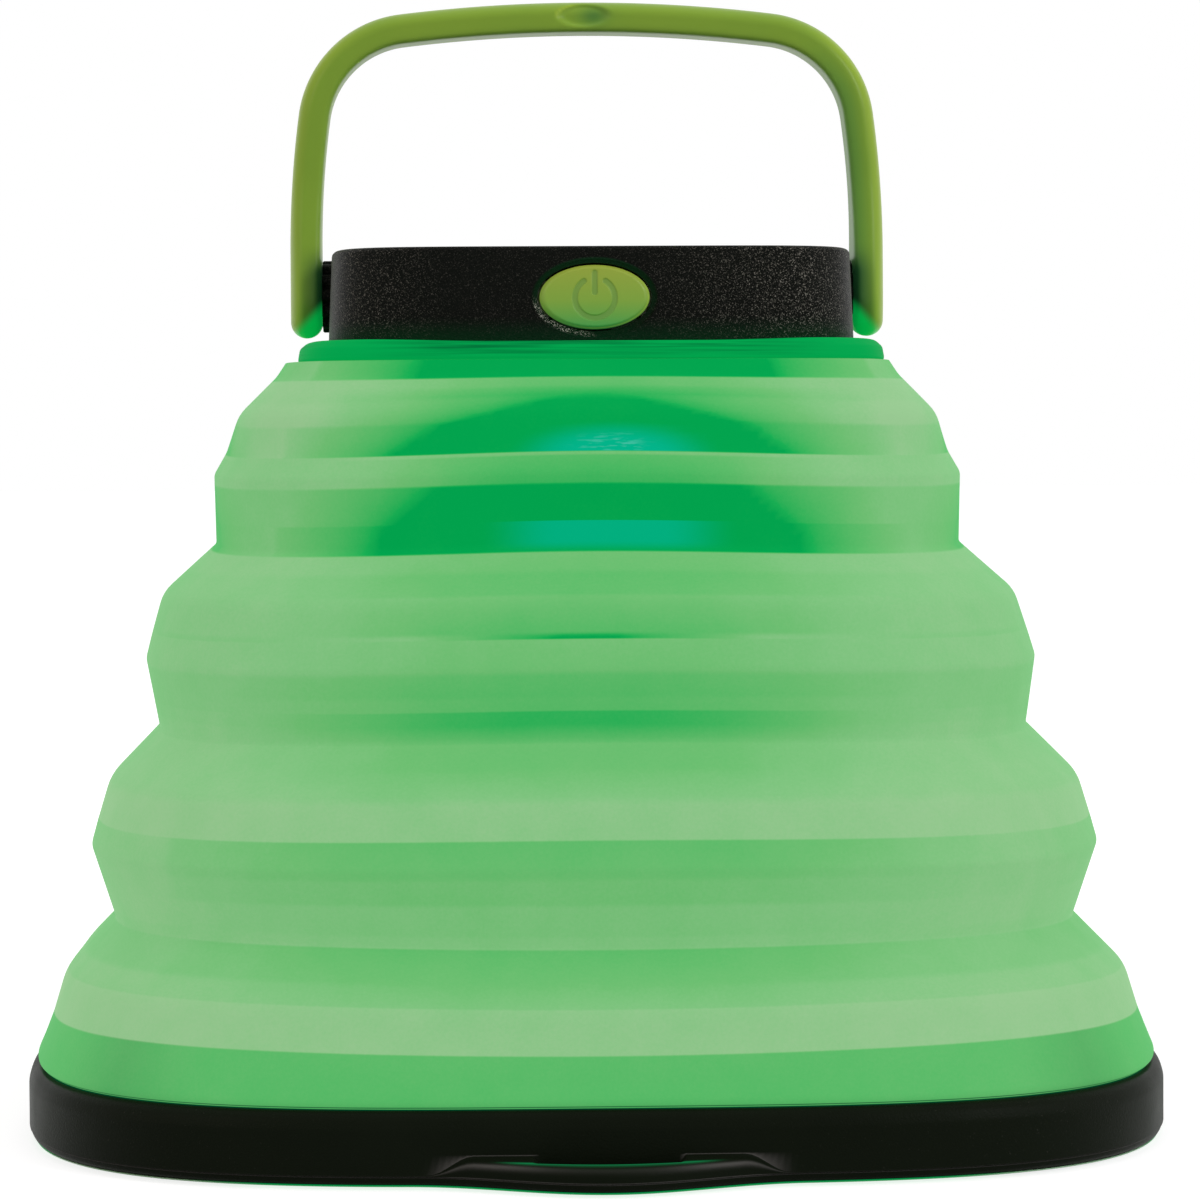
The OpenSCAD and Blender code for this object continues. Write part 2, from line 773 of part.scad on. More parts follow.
module power_button() {
    function ring(grow, y) = [for (p = ellipse(button_a + grow, button_b + grow)) [p[0], y, button_z + p[1]]];
    rim_y = face_y + bevel_d - 0.1;
    color([0.5, 0.64, 0.23]) union() {
        difference() {
            loft([
                ring(0, flange_y),
                ring(0, rim_y),
                ring(-0.15, rim_y - 0.2),
                ring(-1, face_y - button_dome * 0.6),
                ring(-2, face_y - button_dome)
            ]);
            power_symbol();
        }
        difference() {
            oval(button_a + 0.8, button_b + 0.8, flange_y, flange_t);
            translate([-head_half, -head_half, panel_z - panel_ledge - move_gap])
                cube([2 * head_half, head_half, head_h]);
        }
    }
}

// a ring with a gap at its top, and a bar through the gap
module power_symbol() {
    gap_angle = 70;
    y = face_y - button_dome - over;
    translate([0, y, button_z - 0.1]) rotate([-90, 0, 0]) linear_extrude(height = over + symbol_d) {
        difference() {
            circle(r = symbol_r + symbol_line / 2, $fn = fine);
            circle(r = symbol_r - symbol_line / 2, $fn = fine);
            polygon([[0, 0], for (s = [-1, 1]) [s * 3 * sin(gap_angle / 2), -3 * cos(gap_angle / 2)]]);
        }
        translate([-symbol_line / 2, -symbol_r - 0.35]) square([symbol_line, symbol_r + 0.1]);
    }
}

// ---- handle ----

// middle line of the right half, from the pivot to the crossbar, as [x, z, turn]
function leg_point(k) = [
    leg_x - leg_bend_r * (1 - cos(leg_turn * k)),
    pivot_z + leg_straight + leg_bend_r * sin(leg_turn * k),
    leg_turn * k
];
function corner_point(k) =
    let (s = leg_point(1), t = leg_turn + (corner_end - leg_turn) * k)
    [s[0] - corner_r * (cos(leg_turn) - cos(t)), s[1] + corner_r * (sin(t) - sin(leg_turn)), t];
bar_r = corner_point(1)[0] / cos(corner_end);
function bar_point(k) =
    let (s = corner_point(1), t = corner_end + (90 - corner_end) * k)
    [s[0] - bar_r * (cos(corner_end) - cos(t)), s[1] + bar_r * (sin(t) - sin(corner_end)), t];
half_path = concat(
    [[leg_x, pivot_z + 1, 0], [leg_x, pivot_z + leg_straight, 0]],
    [for (k = [1 : 3]) leg_point(k / 3)],
    [for (k = [1 : 9]) corner_point(k / 9)],
    [for (k = [1 : 5]) bar_point(k / 5)]
);
handle_path = concat(
    half_path,
    [for (k = [len(half_path) - 2 : -1 : 0]) [-half_path[k][0], half_path[k][1], 180 - half_path[k][2]]]
);

// section of the handle, with its outer side more rounded: [across, depth]
function handle_section(depth) = [
    for (i = [0 : 19])
        let (t = 18 * i, p = squared(1, cos(t) > 0 ? 2.2 : 3.2, t))
        [p[0] * handle_t / 2, p[1] * depth / 2]
];

module handle() {
    color([0.52, 0.64, 0.24]) union() {
        loft([
            for (q = handle_path)
                let (
                    rise = q[1] - pivot_z,
                    wide = 2 * leg_end_r - 0.6,
                    depth = rise > 12 ? handle_depth : handle_depth + (wide - handle_depth) * pow(1 - rise / 12, 2)
                )
                [
                    for (s = handle_section(depth))
                        [q[0] + s[0] * cos(q[2]), s[1], q[1] + s[0] * sin(q[2])]
                ]
        ]);
        for (side = [0, 1]) mirror([side, 0, 0]) leg_end();
    }
}

// round end of a leg, turned about the pivot axis, and the pin that stands inward from it
module leg_end() {
    edge = 1.2;
    translate([leg_inner, 0, pivot_z]) rotate([0, 90, 0]) rotate_extrude($fn = fine) polygon(concat(
        [[0, 0], [leg_end_r - edge / 2, 0]],
        [for (k = [0 : 3]) [leg_end_r - edge / 2 + edge / 2 * sin(30 * k), edge / 2 * (1 - cos(30 * k))]],
        [for (k = [0 : 4]) [leg_end_r - edge * 1.5 * (1 - cos(22.5 * k)), handle_t - edge * (1 - sin(22.5 * k))]],
        [[0, handle_t]]
    ));
    translate([pin_end, 0, pivot_z]) rotate([0, 90, 0])
        cylinder(h = leg_inner - pin_end + 0.5, r = pin_r, $fn = fine);
}

// ---- cover of the charging socket ----

module socket_flap() {
    color([0.05, 0.05, 0.05]) union() {
        translate([-flap_size[0] / 2, back_y - flap_t, flap_hinge_z])
            cube([flap_size[0], flap_t, flap_foot + flap_size[1] - flap_hinge_z]);
        translate([-flap_size[0] / 2, back_y - flap_t / 2, flap_hinge_z]) rotate([0, 90, 0])
            cylinder(h = flap_size[0], r = flap_t / 2, $fn = fine);
        translate([-plug_size[0] / 2, inner_half + 0.1, socket_z - plug_size[1] / 2])
            cube([plug_size[0], back_y - flap_t / 2 - inner_half - 0.1, plug_size[1] - 0.1]);
    }
}

base_ring();
base_cover();
bottom_window();
shade_clamp();
base_screws();
shade();
collar();
head_gasket();
head_housing();
chassis();
head_screws();
panel_board();
solar_cells();
panel_cover();
solar_leads();
main_board();
board_screws();
control_chips();
push_switch();
charging_socket();
battery();
battery_pad();
battery_leads();
lamp_post();
led_boards();
leds();
led_leads();
lamp_cover();
lamp_screws();
power_button();
switch_plunger();
handle();
socket_flap();
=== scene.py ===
import math

import bpy
import numpy as np
from mathutils import Matrix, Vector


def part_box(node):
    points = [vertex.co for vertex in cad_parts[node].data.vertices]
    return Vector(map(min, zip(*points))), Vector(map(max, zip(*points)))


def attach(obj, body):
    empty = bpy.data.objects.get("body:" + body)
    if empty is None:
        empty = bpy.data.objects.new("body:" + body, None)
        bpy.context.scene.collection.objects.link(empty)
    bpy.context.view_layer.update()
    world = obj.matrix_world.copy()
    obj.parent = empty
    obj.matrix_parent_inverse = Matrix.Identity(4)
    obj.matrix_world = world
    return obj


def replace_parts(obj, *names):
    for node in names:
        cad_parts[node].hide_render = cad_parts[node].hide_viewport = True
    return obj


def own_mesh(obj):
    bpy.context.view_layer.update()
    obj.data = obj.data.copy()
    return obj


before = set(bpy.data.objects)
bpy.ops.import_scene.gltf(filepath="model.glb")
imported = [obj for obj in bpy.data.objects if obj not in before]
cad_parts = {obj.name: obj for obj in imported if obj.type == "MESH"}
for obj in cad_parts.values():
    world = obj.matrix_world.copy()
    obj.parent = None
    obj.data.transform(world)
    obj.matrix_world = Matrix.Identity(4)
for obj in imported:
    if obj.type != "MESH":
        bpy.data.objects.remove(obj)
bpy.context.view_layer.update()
scene = bpy.context.scene
mm = 0.001


def edges(node):
    # lowest and highest corner of a CAD node, in millimetres
    low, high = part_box(node)
    return np.array(low) / mm, np.array(high) / mm


# sizes that several pieces share, in millimetres, read from the frame where it has them
ringLow, ringHigh = edges("base_ring")
coverLow, coverHigh = edges("base_cover")
windowLow, windowHigh = edges("bottom_window")
shadeHigh = edges("shade")[1]
collarLow, collarHigh = edges("collar")
headLow, headHigh = edges("head_housing")
panelLow, panelHigh = edges("panel_cover")
buttonLow = edges("power_button")[0]
handleLow, handleHigh = edges("handle")
flapLow, flapHigh = edges("socket_flap")

# corners of each outline: 2 is round and more is squarer. the head can't go past 6, or the folded
# handle cuts into its corners
squareness = {"base": 3.5, "collar": 5, "head": 6}
baseHalf = ringHigh[0]
headHalf = headHigh[1]
headTaper = 0.4         # how much the head narrows on each side towards its top
pivotDrop = 4           # from the head's top down to the handle's axis
pivotZ = headHigh[2] - pivotDrop


def smooth(x, start, end):
    # 0 before start, 1 after end, and an S curve between
    t = np.clip((x - start) / (end - start), 0, 1)
    return t * t * (3 - 2 * t)


def bump(x, middle, spread):
    # a bell of height 1
    return np.exp(-((x - middle) / spread) ** 2)


def squared(half, power, turn):
    # a circle squeezed towards a square: half / (|cos|^power + |sin|^power)^(1/power), along the ray at turn
    reach = half * (np.abs(np.cos(turn)) ** power + np.abs(np.sin(turn)) ** power) ** (-1 / power)
    return reach * np.cos(turn), reach * np.sin(turn)


def roundedLine(points, cut, steps=5, closed=False):
    # a broken line whose corners become short parabolas that start and end cut away from each corner
    p = np.array(points, float)
    before, after = np.roll(p, 1, 0), np.roll(p, -1, 0)
    if not closed:
        p, before, after = p[1:-1], before[1:-1], after[1:-1]
    cuts = np.broadcast_to(np.asarray(cut, float), (len(p),))[:, None]

    def towards(other):
        step = other - p
        length = np.linalg.norm(step[:, :2], axis=1, keepdims=True)
        return p + step / length * np.minimum(cuts, 0.42 * length)

    t = np.linspace(0, 1, steps)[None, :, None]
    start, end = towards(before)[:, None], towards(after)[:, None]
    curve = ((1 - t) ** 2 * start + 2 * t * (1 - t) * p[:, None] + t ** 2 * end).reshape(-1, p.shape[1])
    if closed:
        return curve
    ends = np.array(points, float)
    return np.vstack([ends[:1], curve, ends[-1:]])


def evenTurns(count):
    # angles at equal steps of a full turn divided by count
    return np.arange(count) * 2 * np.pi / count


def carried(profile, power, turns):
    # a profile of [half width, z] carried round a squared circle, as rows x columns x 3;
    # power is one number, or one for each row
    power = np.reshape(power, (-1, 1))
    x, y = squared(profile[:, :1], power, turns[None])
    z = np.broadcast_to(profile[:, 1:2], x.shape)
    return np.stack([x, y, z], 2)


def gridFaces(rows, columns, wrapRows):
    # the four corners of each cell of a grid whose columns close on themselves
    last = rows if wrapRows else rows - 1
    r, c = np.meshgrid(np.arange(last), np.arange(columns), indexing="ij")
    up, right = (r + 1) % rows, (c + 1) % columns
    cells = [r * columns + c, r * columns + right, up * columns + right, up * columns + c]
    return np.stack(cells, 2).reshape(-1, 4)


def signedVolume(points, triangles):
    # a sixth of the sum of a . (b x c) over the triangles, positive where they face outwards
    a, b, c = points[triangles[:, 0]], points[triangles[:, 1]], points[triangles[:, 2]]
    return np.einsum("ij,ij->i", a, np.cross(b, c)).sum() / 6


def addPiece(name, grid, body, material, wrapRows=False, marks=None, sharp=40):
    # a closed piece from a grid of points in millimetres: quads between neighbours, and where the
    # rows don't wrap, a fan of triangles about the middle of the first and of the last row
    rows, columns = grid.shape[:2]
    points = grid.reshape(-1, 3)
    quads = gridFaces(rows, columns, wrapRows)
    triangles = np.empty((0, 3), int)
    extra = 0
    if not wrapRows:
        here = np.arange(columns)
        there = (here + 1) % columns
        first = rows * columns
        offset = (rows - 1) * columns
        triangles = np.vstack([
            np.stack([np.full(columns, first), there, here], 1),
            np.stack([np.full(columns, first + 1), offset + here, offset + there], 1),
        ])
        points = np.vstack([points, grid[0].mean(0), grid[-1].mean(0)])
        extra = 2
    halves = np.vstack([quads[:, [0, 1, 2]], quads[:, [0, 2, 3]], triangles])
    if signedVolume(points, halves) < 0:
        quads = quads[:, ::-1]
        triangles = triangles[:, ::-1]
    mesh = bpy.data.meshes.new(name)
    mesh.vertices.add(len(points))
    mesh.vertices.foreach_set("co", (points * mm).ravel())
    mesh.loops.add(quads.size + triangles.size)
    mesh.loops.foreach_set("vertex_index", np.concatenate([quads.ravel(), triangles.ravel()]))
    mesh.polygons.add(len(quads) + len(triangles))
    sizes = np.concatenate([np.full(len(quads), 4), np.full(len(triangles), 3)])
    mesh.polygons.foreach_set("loop_start", np.concatenate([[0], np.cumsum(sizes)[:-1]]))
    mesh.update(calc_edges=True)
    for key, values in (marks or {}).items():
        values = np.concatenate([np.broadcast_to(values, (rows, columns)).ravel(), np.zeros(extra)])
        if extra:
            values[-2:] = values[0], values[-3]
        mesh.attributes.new(key, "FLOAT", "POINT").data.foreach_set("value", values.astype(np.float32))
    mesh.set_sharp_from_angle(angle=math.radians(sharp))
    piece = bpy.data.objects.new(name, mesh)
    scene.collection.objects.link(piece)
    mesh.materials.append(material)
    if body:
        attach(piece, body)
    return piece


def carve(piece, cutters, sharp=35):
    # the piece with the cutters taken out of it, for good
    for cutter in cutters:
        cut = piece.modifiers.new("cut", "BOOLEAN")
        cut.operation = "DIFFERENCE"
        cut.solver = "EXACT"
        cut.object = cutter
    bpy.context.view_layer.update()
    carved = bpy.data.meshes.new_from_object(piece.evaluated_get(bpy.context.evaluated_depsgraph_get()))
    piece.modifiers.clear()
    piece.data = carved
    carved.set_sharp_from_angle(angle=math.radians(sharp))
    for cutter in cutters:
        bpy.data.objects.remove(cutter)


def colour(red, green, blue):
    # a colour in the screen's 0 to 255, as the linear values that the sockets take
    screen = np.array([red, green, blue]) / 255
    linear = np.where(screen <= 0.04045, screen / 12.92, ((screen + 0.055) / 1.055) ** 2.4)
    return (*linear.tolist(), 1)


def addNode(tree, kind, inputs=None, **settings):
    # a node whose inputs are either linked or given as values
    made = tree.nodes.new(kind)
    for key, value in settings.items():
        setattr(made, key, value)
    for key, value in (inputs or {}).items():
        if isinstance(value, bpy.types.NodeSocket):
            tree.links.new(value, made.inputs[key])
        else:
            made.inputs[key].default_value = value
    return made


def sums(tree, operation, *values):
    # one step of arithmetic on its values
    return addNode(tree, "ShaderNodeMath", dict(enumerate(values)), operation=operation).outputs[0]


def mixed(tree, factor, first, second, blend="MIX"):
    # first + (second - first) * factor, or first * second with MULTIPLY
    made = addNode(tree, "ShaderNodeMix", data_type="RGBA", blend_type=blend)
    for index, value in ((0, factor), (6, first), (7, second)):
        if isinstance(value, bpy.types.NodeSocket):
            tree.links.new(value, made.inputs[index])
        else:
            made.inputs[index].default_value = value
    return made.outputs[2]


def remap(tree, value, fromLow, fromHigh, toLow=0.0, toHigh=1.0, kind="LINEAR"):
    # toLow + (toHigh - toLow) * (value - fromLow) / (fromHigh - fromLow), held at both ends
    inputs = {0: value, 1: fromLow, 2: fromHigh, 3: toLow, 4: toHigh}
    return addNode(tree, "ShaderNodeMapRange", inputs, interpolation_type=kind).outputs[0]


def place(tree, scale=(1, 1, 1)):
    # the piece's own coordinates in millimetres, stretched by scale
    spot = addNode(tree, "ShaderNodeTexCoord").outputs["Object"]
    perMetre = [s / mm for s in scale]
    return addNode(tree, "ShaderNodeVectorMath", {0: spot, 1: perMetre}, operation="MULTIPLY").outputs[0]


def noise(tree, spot, scale, detail):
    # soft noise from 0 to 1; scale is its cells to the millimetre
    return addNode(tree, "ShaderNodeTexNoise", {"Vector": spot, "Scale": scale, "Detail": detail}).outputs


def heights(tree):
    # x, y and z of the piece's own coordinates, in millimetres
    return addNode(tree, "ShaderNodeSeparateXYZ", {0: place(tree)}).outputs


def ramp(tree, value, stops):
    # colours at given positions, blended in straight lines between them
    made = addNode(tree, "ShaderNodeValToRGB", {0: value})
    band = made.color_ramp
    band.elements[0].position, band.elements[1].position = stops[0][0], stops[-1][0]
    for position, _ in stops[1:-1]:
        band.elements.new(position)
    for element, (_, tint) in zip(band.elements, stops):
        element.color = tint
    return made.outputs[0]


def newGroup(name, inputs, outputs):
    # a shader node group with named sockets; inputs are name: default, outputs are name: kind
    tree = bpy.data.node_groups.new(name, "ShaderNodeTree")
    for key, default in inputs.items():
        kind = "NodeSocketColor" if isinstance(default, tuple) else "NodeSocketFloat"
        tree.interface.new_socket(key, in_out="INPUT", socket_type=kind).default_value = default
    for key, kind in outputs.items():
        tree.interface.new_socket(key, in_out="OUTPUT", socket_type=kind)
    return tree, tree.nodes.new("NodeGroupInput"), tree.nodes.new("NodeGroupOutput")


def wrinkleGroup():
    # moulded leather-like grain: rounded cells, and a mask of a few of their tops: painted highlights on the
    # black plastics, a second tone on the others
    tree, given, put = newGroup("wrinkleGrain", {"Cell": 0.5, "Speckle": 0.5}, {
        "Height": "NodeSocketFloat", "Sparkle": "NodeSocketFloat", "Drift": "NodeSocketFloat"})
    spot = place(tree)
    perCell = sums(tree, "DIVIDE", 1.0, given.outputs["Cell"])
    warp = noise(tree, spot, perCell, 2.0)["Color"]
    moved = addNode(tree, "ShaderNodeVectorMath", {0: warp, 1: [0.35] * 3, 2: spot},
                    operation="MULTIPLY_ADD").outputs[0]
    cells = addNode(tree, "ShaderNodeTexVoronoi", {"Vector": moved, "Scale": perCell, "Smoothness": 0.5},
                    feature="SMOOTH_F1").outputs["Distance"]
    fine = noise(tree, spot, sums(tree, "MULTIPLY", perCell, 2.2), 2.0)[0]
    tree.links.new(sums(tree, "SUBTRACT", sums(tree, "MULTIPLY", fine, 0.4), cells), put.inputs["Height"])
    spark = noise(tree, moved, sums(tree, "MULTIPLY", perCell, 1.1), 1.0)[0]
    edge = sums(tree, "MULTIPLY_ADD", given.outputs["Speckle"], -0.25, 0.72)
    tree.links.new(remap(tree, spark, edge, sums(tree, "ADD", edge, 0.12)), put.inputs["Sparkle"])
    drift = noise(tree, spot, 0.09, 3.0)[0]
    tree.links.new(drift, put.inputs["Drift"])
    return tree


def siliconeGroup():
    # lit silicone: deep green where the lamp is near, pale where the light has spread, blue-green at its core
    tree, given, put = newGroup("litSilicone", {"Pale": 0.8, "Core": 0.0, "Glint": 0.0, "Deepness": 0.0}, {
        "Glow": "NodeSocketColor", "Skin": "NodeSocketColor", "Height": "NodeSocketFloat"})
    spot = place(tree)
    cloud = noise(tree, spot, 0.22, 4.0)[0]
    grain = noise(tree, spot, 3.2, 3.0)[0]
    level = sums(tree, "MULTIPLY_ADD", sums(tree, "SUBTRACT", cloud, 0.5), 0.10, given.outputs["Pale"])
    level = sums(tree, "MULTIPLY_ADD", sums(tree, "SUBTRACT", grain, 0.5), 0.09, level)
    tint = ramp(tree, level, (
        (0.0, colour(0, 164, 78)), (0.22, colour(24, 175, 84)), (0.4, colour(60, 181, 93)),
        (0.6, colour(91, 187, 105)), (0.74, colour(111, 191, 115)), (0.87, colour(130, 196, 130)),
        (1.0, colour(151, 200, 145))))
    streak = noise(tree, place(tree, (0.7, 0.7, 4.5)), 1.0, 3.0)[0]
    dashes = sums(tree, "MULTIPLY", remap(tree, streak, 0.5, 0.66), given.outputs["Glint"])
    tint = mixed(tree, given.outputs["Core"], tint, colour(0, 180, 138))
    tint = mixed(tree, dashes, tint, colour(70, 192, 165))
    # Deepness mixes in a dark green: painted shade at the shade's foot, dark streaks on the collar
    tint = mixed(tree, given.outputs["Deepness"], tint, colour(0, 74, 42))
    tree.links.new(tint, put.inputs["Glow"])
    tree.links.new(mixed(tree, 1.0, tint, (0.28, 0.28, 0.28, 1), "MULTIPLY"), put.inputs["Skin"])
    tree.links.new(sums(tree, "MULTIPLY_ADD", cloud, 0.3, grain), put.inputs["Height"])
    return tree


wrinkleGrain = wrinkleGroup()
litSilicone = siliconeGroup()


head = {
    "wall": 1.6, "edge": 0.55, "columns": 360,
    "pocketDeep": 2.2, "ledgeIn": 1.8, "ledgeThick": 1.0,
    "bevelWide": 0.62, "gap": 0.22,
}
button = {
    "halfWidth": 5.38, "halfHeight": 3.12, "dome": 0.25,
    "ringRadius": 1.95, "lineWide": 0.56, "symbolDeep": 0.14, "symbolDrop": 0.11,
    "gapHalf": 33, "barTop": 2.62, "barFoot": 0.14,
}
port = {
    "halfWidth": 4.35, "halfHeight": 1.85, "drop": 0.2, "power": 5,    # drop is below the flap's middle
    "recessDeep": 1.05, "recessPower": 30,    # the flap's seat, with corners square enough for it to swing
}
buttonDrop = 4.15    # from the lowest point of the button's solid up to the symbol's middle
buttonZ = buttonLow[2] + buttonDrop
dishReach = head["gap"] + head["bevelWide"]
handle = {
    "thick": 3.24, "slack": 0.02, "deep": 5.6, "endRadius": 4.3,
    "straight": 4.7, "bendRadius": 102, "bendTurn": 7.8,
    "cornerRadius": 10.4, "cornerEnd": 83,
    "outerPower": 2.3, "innerPower": 7,       # section: rounder outside, nearly flat inside
    "dimpleHalf": 2.7, "dimpleHigh": 1.15, "dimpleDeep": 0.5,    # thumb mark on the front of the crossbar
    "barFrom": 105,                           # the crossbar is above this height
    "dimpleRimHighlight": 0.6, "legOutsideHighlight": 0.42,     # how strong the painted highlights on the dimple's rim and on the legs' outside are
    "legInnerShade": 0.8,                            # how strong the painted shade on the right leg's inner half is
    "pinRadius": 1.5, "pinChamfer": 0.2, "pinIn": 2.3,
    "around": 80,
}
legInner = handleHigh[0] - handle["slack"] - handle["thick"]
faceY = -(headHalf - headTaper / 2)


unlit = (0, 0, 0, 1)


def newMaterial(name, **constants):
    # a Principled material; constants are values for the shader's own sockets, with _ for a space
    made = bpy.data.materials.new(name)
    made.use_nodes = True
    shader = made.node_tree.nodes["Principled BSDF"]
    for key, value in constants.items():
        shader.inputs[key.replace("_", " ")].default_value = value
    return made, made.node_tree, shader


def feed(tree, shader, **values):
    # links each value to the shader's socket of that name, with _ for a space
    for key, value in values.items():
        tree.links.new(value, shader.inputs[key.replace("_", " ")])


def useGroup(tree, group, **inputs):
    # the outputs of one of the shared groups
    made = addNode(tree, "ShaderNodeGroup", node_tree=group)
    for key, value in inputs.items():
        if isinstance(value, bpy.types.NodeSocket):
            tree.links.new(value, made.inputs[key])
        else:
            made.inputs[key].default_value = value
    return made.outputs


def addBump(tree, shader, height, distance, strength=1.0):
    # relief of the given height in millimetres
    inputs = {"Height": height, "Distance": distance * mm, "Strength": strength}
    feed(tree, shader, Normal=addNode(tree, "ShaderNodeBump", inputs).outputs[0])


def mark(tree, name):
    # a value that a piece carries on its points
    return addNode(tree, "ShaderNodeAttribute", attribute_name=name).outputs["Fac"]


def siliconeMaterial(name, deepness):
    # soft silicone lit from inside: most of its colour is its own glow
    made, tree, shader = newMaterial(
        name, Roughness=0.62, Specular_IOR_Level=0.02, Emission_Strength=0.8)
    lit = useGroup(tree, litSilicone, Pale=mark(tree, "pale"), Core=mark(tree, "core"),
                   Glint=mark(tree, "glint"), Deepness=deepness(tree))
    feed(tree, shader, Base_Color=lit["Skin"], Emission_Color=lit["Glow"])
    addBump(tree, shader, lit["Height"], 0.02, 0.4)
    return made


def blackPlastic(name, cell, speckle, tint, light, depth, roughness, farCorner=26, dish=False, spill=False):
    # black moulded plastic: wrinkle grain, painted highlights on a few tops of the grain and a slow drift of
    # tone.
    # dish adds the painted green light and glints on the head, spill the painted light and painted edge
    # highlights on the base
    made, tree, shader = newMaterial(name, Specular_IOR_Level=0.05)
    grain = useGroup(tree, wrinkleGrain, Cell=cell, Speckle=speckle)
    x, y, z = heights(tree)
    skin = mixed(tree, grain["Drift"], tint, tuple(0.6 * c for c in tint[:3]) + (1,))
    # the painted highlights are stronger towards the corners, and weakest a little left of the middle
    aside = sums(tree, "ABSOLUTE", sums(tree, "ADD", x, 5.0))
    fromMiddle = sums(tree, "MINIMUM", aside, sums(tree, "ABSOLUTE", y))
    highlightAtCorner = remap(tree, fromMiddle, 0.35 * farCorner, 1.1 * farCorner, 0.12, 1.0)
    lit = sums(tree, "MULTIPLY", grain["Sparkle"], highlightAtCorner)
    skin = mixed(tree, lit, skin, light)
    if dish:
        # painted green light lies in the dish round the button and along the head's foot
        low = remap(tree, z, headLow[2] + 3.2, headLow[2] + 0.2, 0.0, 0.8, "SMOOTHSTEP")
        skin = mixed(tree, low, skin, colour(0, 50, 24))
        across = sums(tree, "DIVIDE", x, button["halfWidth"] + dishReach)
        up = sums(tree, "DIVIDE", sums(tree, "SUBTRACT", z, buttonZ), button["halfHeight"] + dishReach)
        squares = sums(tree, "ADD", sums(tree, "MULTIPLY", across, across), sums(tree, "MULTIPLY", up, up))
        reach = sums(tree, "SQRT", squares)
        ring = sums(tree, "MULTIPLY", remap(tree, reach, 1.0, 0.95), sums(tree, "LESS_THAN", y, faceY + 1.5))
        green = sums(tree, "MULTIPLY", ring, remap(tree, up, -0.6, 0.6, 0.25, 0.9))
        skin = mixed(tree, green, skin, colour(10, 50, 26))
        # painted glints on the dish's lower left edge
        lowLeftGlint = sums(tree, "MULTIPLY", ring, remap(tree, sums(tree, "ADD", across, up), -0.9, -1.3))
        lowLeftGlint = sums(tree, "MULTIPLY", lowLeftGlint, remap(tree, grain["Sparkle"], 0.0, 0.3))
        skin = mixed(tree, lowLeftGlint, skin, colour(225, 220, 210))
    if spill:
        # painted highlights on the base's edges and the lip's ridge, and painted green light spilling from
        # the slot
        skin = mixed(tree, mark(tree, "paintedHighlight"), skin, colour(88, 86, 84))
        feed(tree, shader, Emission_Color=mixed(tree, mark(tree, "spill"), unlit, colour(0, 118, 66)))
        shader.inputs["Emission Strength"].default_value = 1
        shader.inputs["Specular IOR Level"].default_value = 0.03
    rough = remap(tree, grain["Drift"], 0.2, 0.8, roughness - 0.06, roughness + 0.08)
    feed(tree, shader, Base_Color=skin, Roughness=rough)
    addBump(tree, shader, grain["Height"], depth)
    return made


print("stage: shader groups and first materials")


def collarStreaks(tree):
    # dark lines that run round the collar, fewer towards its corners
    lines = noise(tree, place(tree, (0.06, 0.06, 3.2)), 1.0, 2.0)[0]
    low = remap(tree, heights(tree)[2], collarLow[2], collarHigh[2], 0.25, 1.0)
    dark = sums(tree, "MULTIPLY", remap(tree, lines, 0.42, 0.7, 0.0, 0.75), low)
    return sums(tree, "MULTIPLY", dark, mark(tree, "middle"))


# the shade's deepness is its painted shade at the base
shadeSilicone = siliconeMaterial("shadeSilicone", lambda tree: mark(tree, "foot"))
collarSilicone = siliconeMaterial("collarSilicone", collarStreaks)
headPlastic = blackPlastic(
    "headPlastic", cell=0.14, speckle=0.55, tint=colour(4, 7, 3), light=colour(160, 155, 146),
    depth=0.07, roughness=0.4, dish=True)
basePlastic = blackPlastic(
    "basePlastic", cell=0.2, speckle=0.1, tint=colour(20, 26, 16), light=colour(62, 62, 56),
    depth=0.02, roughness=0.42, farCorner=56, spill=True)


def handlePlastic():
    # lime plastic with a faint painted glow for the light it lets through, and painted green light where the
    # glow of the shade reaches its ends
    made, tree, shader = newMaterial(
        "handlePlastic", Roughness=0.34, Specular_IOR_Level=0.13, Emission_Strength=0.25)
    grain = useGroup(tree, wrinkleGrain, Cell=0.9, Speckle=0.1)
    lime = mixed(tree, grain["Drift"], colour(143, 172, 56), colour(131, 164, 54))
    # painted shade in the dimple, painted highlights on the edges, painted shade on the right leg's inner
    # half
    lime = mixed(tree, mark(tree, "hollowShade"), lime, colour(72, 122, 58))
    lime = mixed(tree, mark(tree, "edge"), lime, colour(186, 208, 56))
    lime = mixed(tree, mark(tree, "leeShade"), lime, colour(88, 136, 58))
    # painted shade on the side that faces the head near the pivot, and painted green light at the legs' feet,
    # which climbs higher on that side
    x, _, z = heights(tree)
    outward = sums(tree, "MAXIMUM", sums(tree, "SUBTRACT", sums(tree, "ABSOLUTE", x), legInner), 0.0)
    up = sums(tree, "SUBTRACT", z, handleLow[2])
    facing = remap(tree, outward, 2.3, 0.3)
    nearHeadShade = sums(tree, "MULTIPLY", facing, remap(tree, up, 9.8, 6.4, 0.0, 0.85, "SMOOTHSTEP"))
    lime = mixed(tree, nearHeadShade, lime, colour(24, 72, 44))
    glow = remap(tree, sums(tree, "MULTIPLY_ADD", outward, 1.0, up), 2.4, 4.1, 0.95, 0.0, "SMOOTHSTEP")
    lime = mixed(tree, glow, lime, colour(0, 176, 82))
    # the painted glow: faint, dimmer beside the head, and strong green at the legs' feet
    through = mixed(tree, nearHeadShade, colour(48, 96, 40), colour(8, 56, 34))
    feed(tree, shader, Base_Color=lime, Emission_Color=mixed(tree, glow, through, colour(0, 255, 110)))
    addBump(tree, shader, grain["Height"], 0.01, 0.5)
    return made


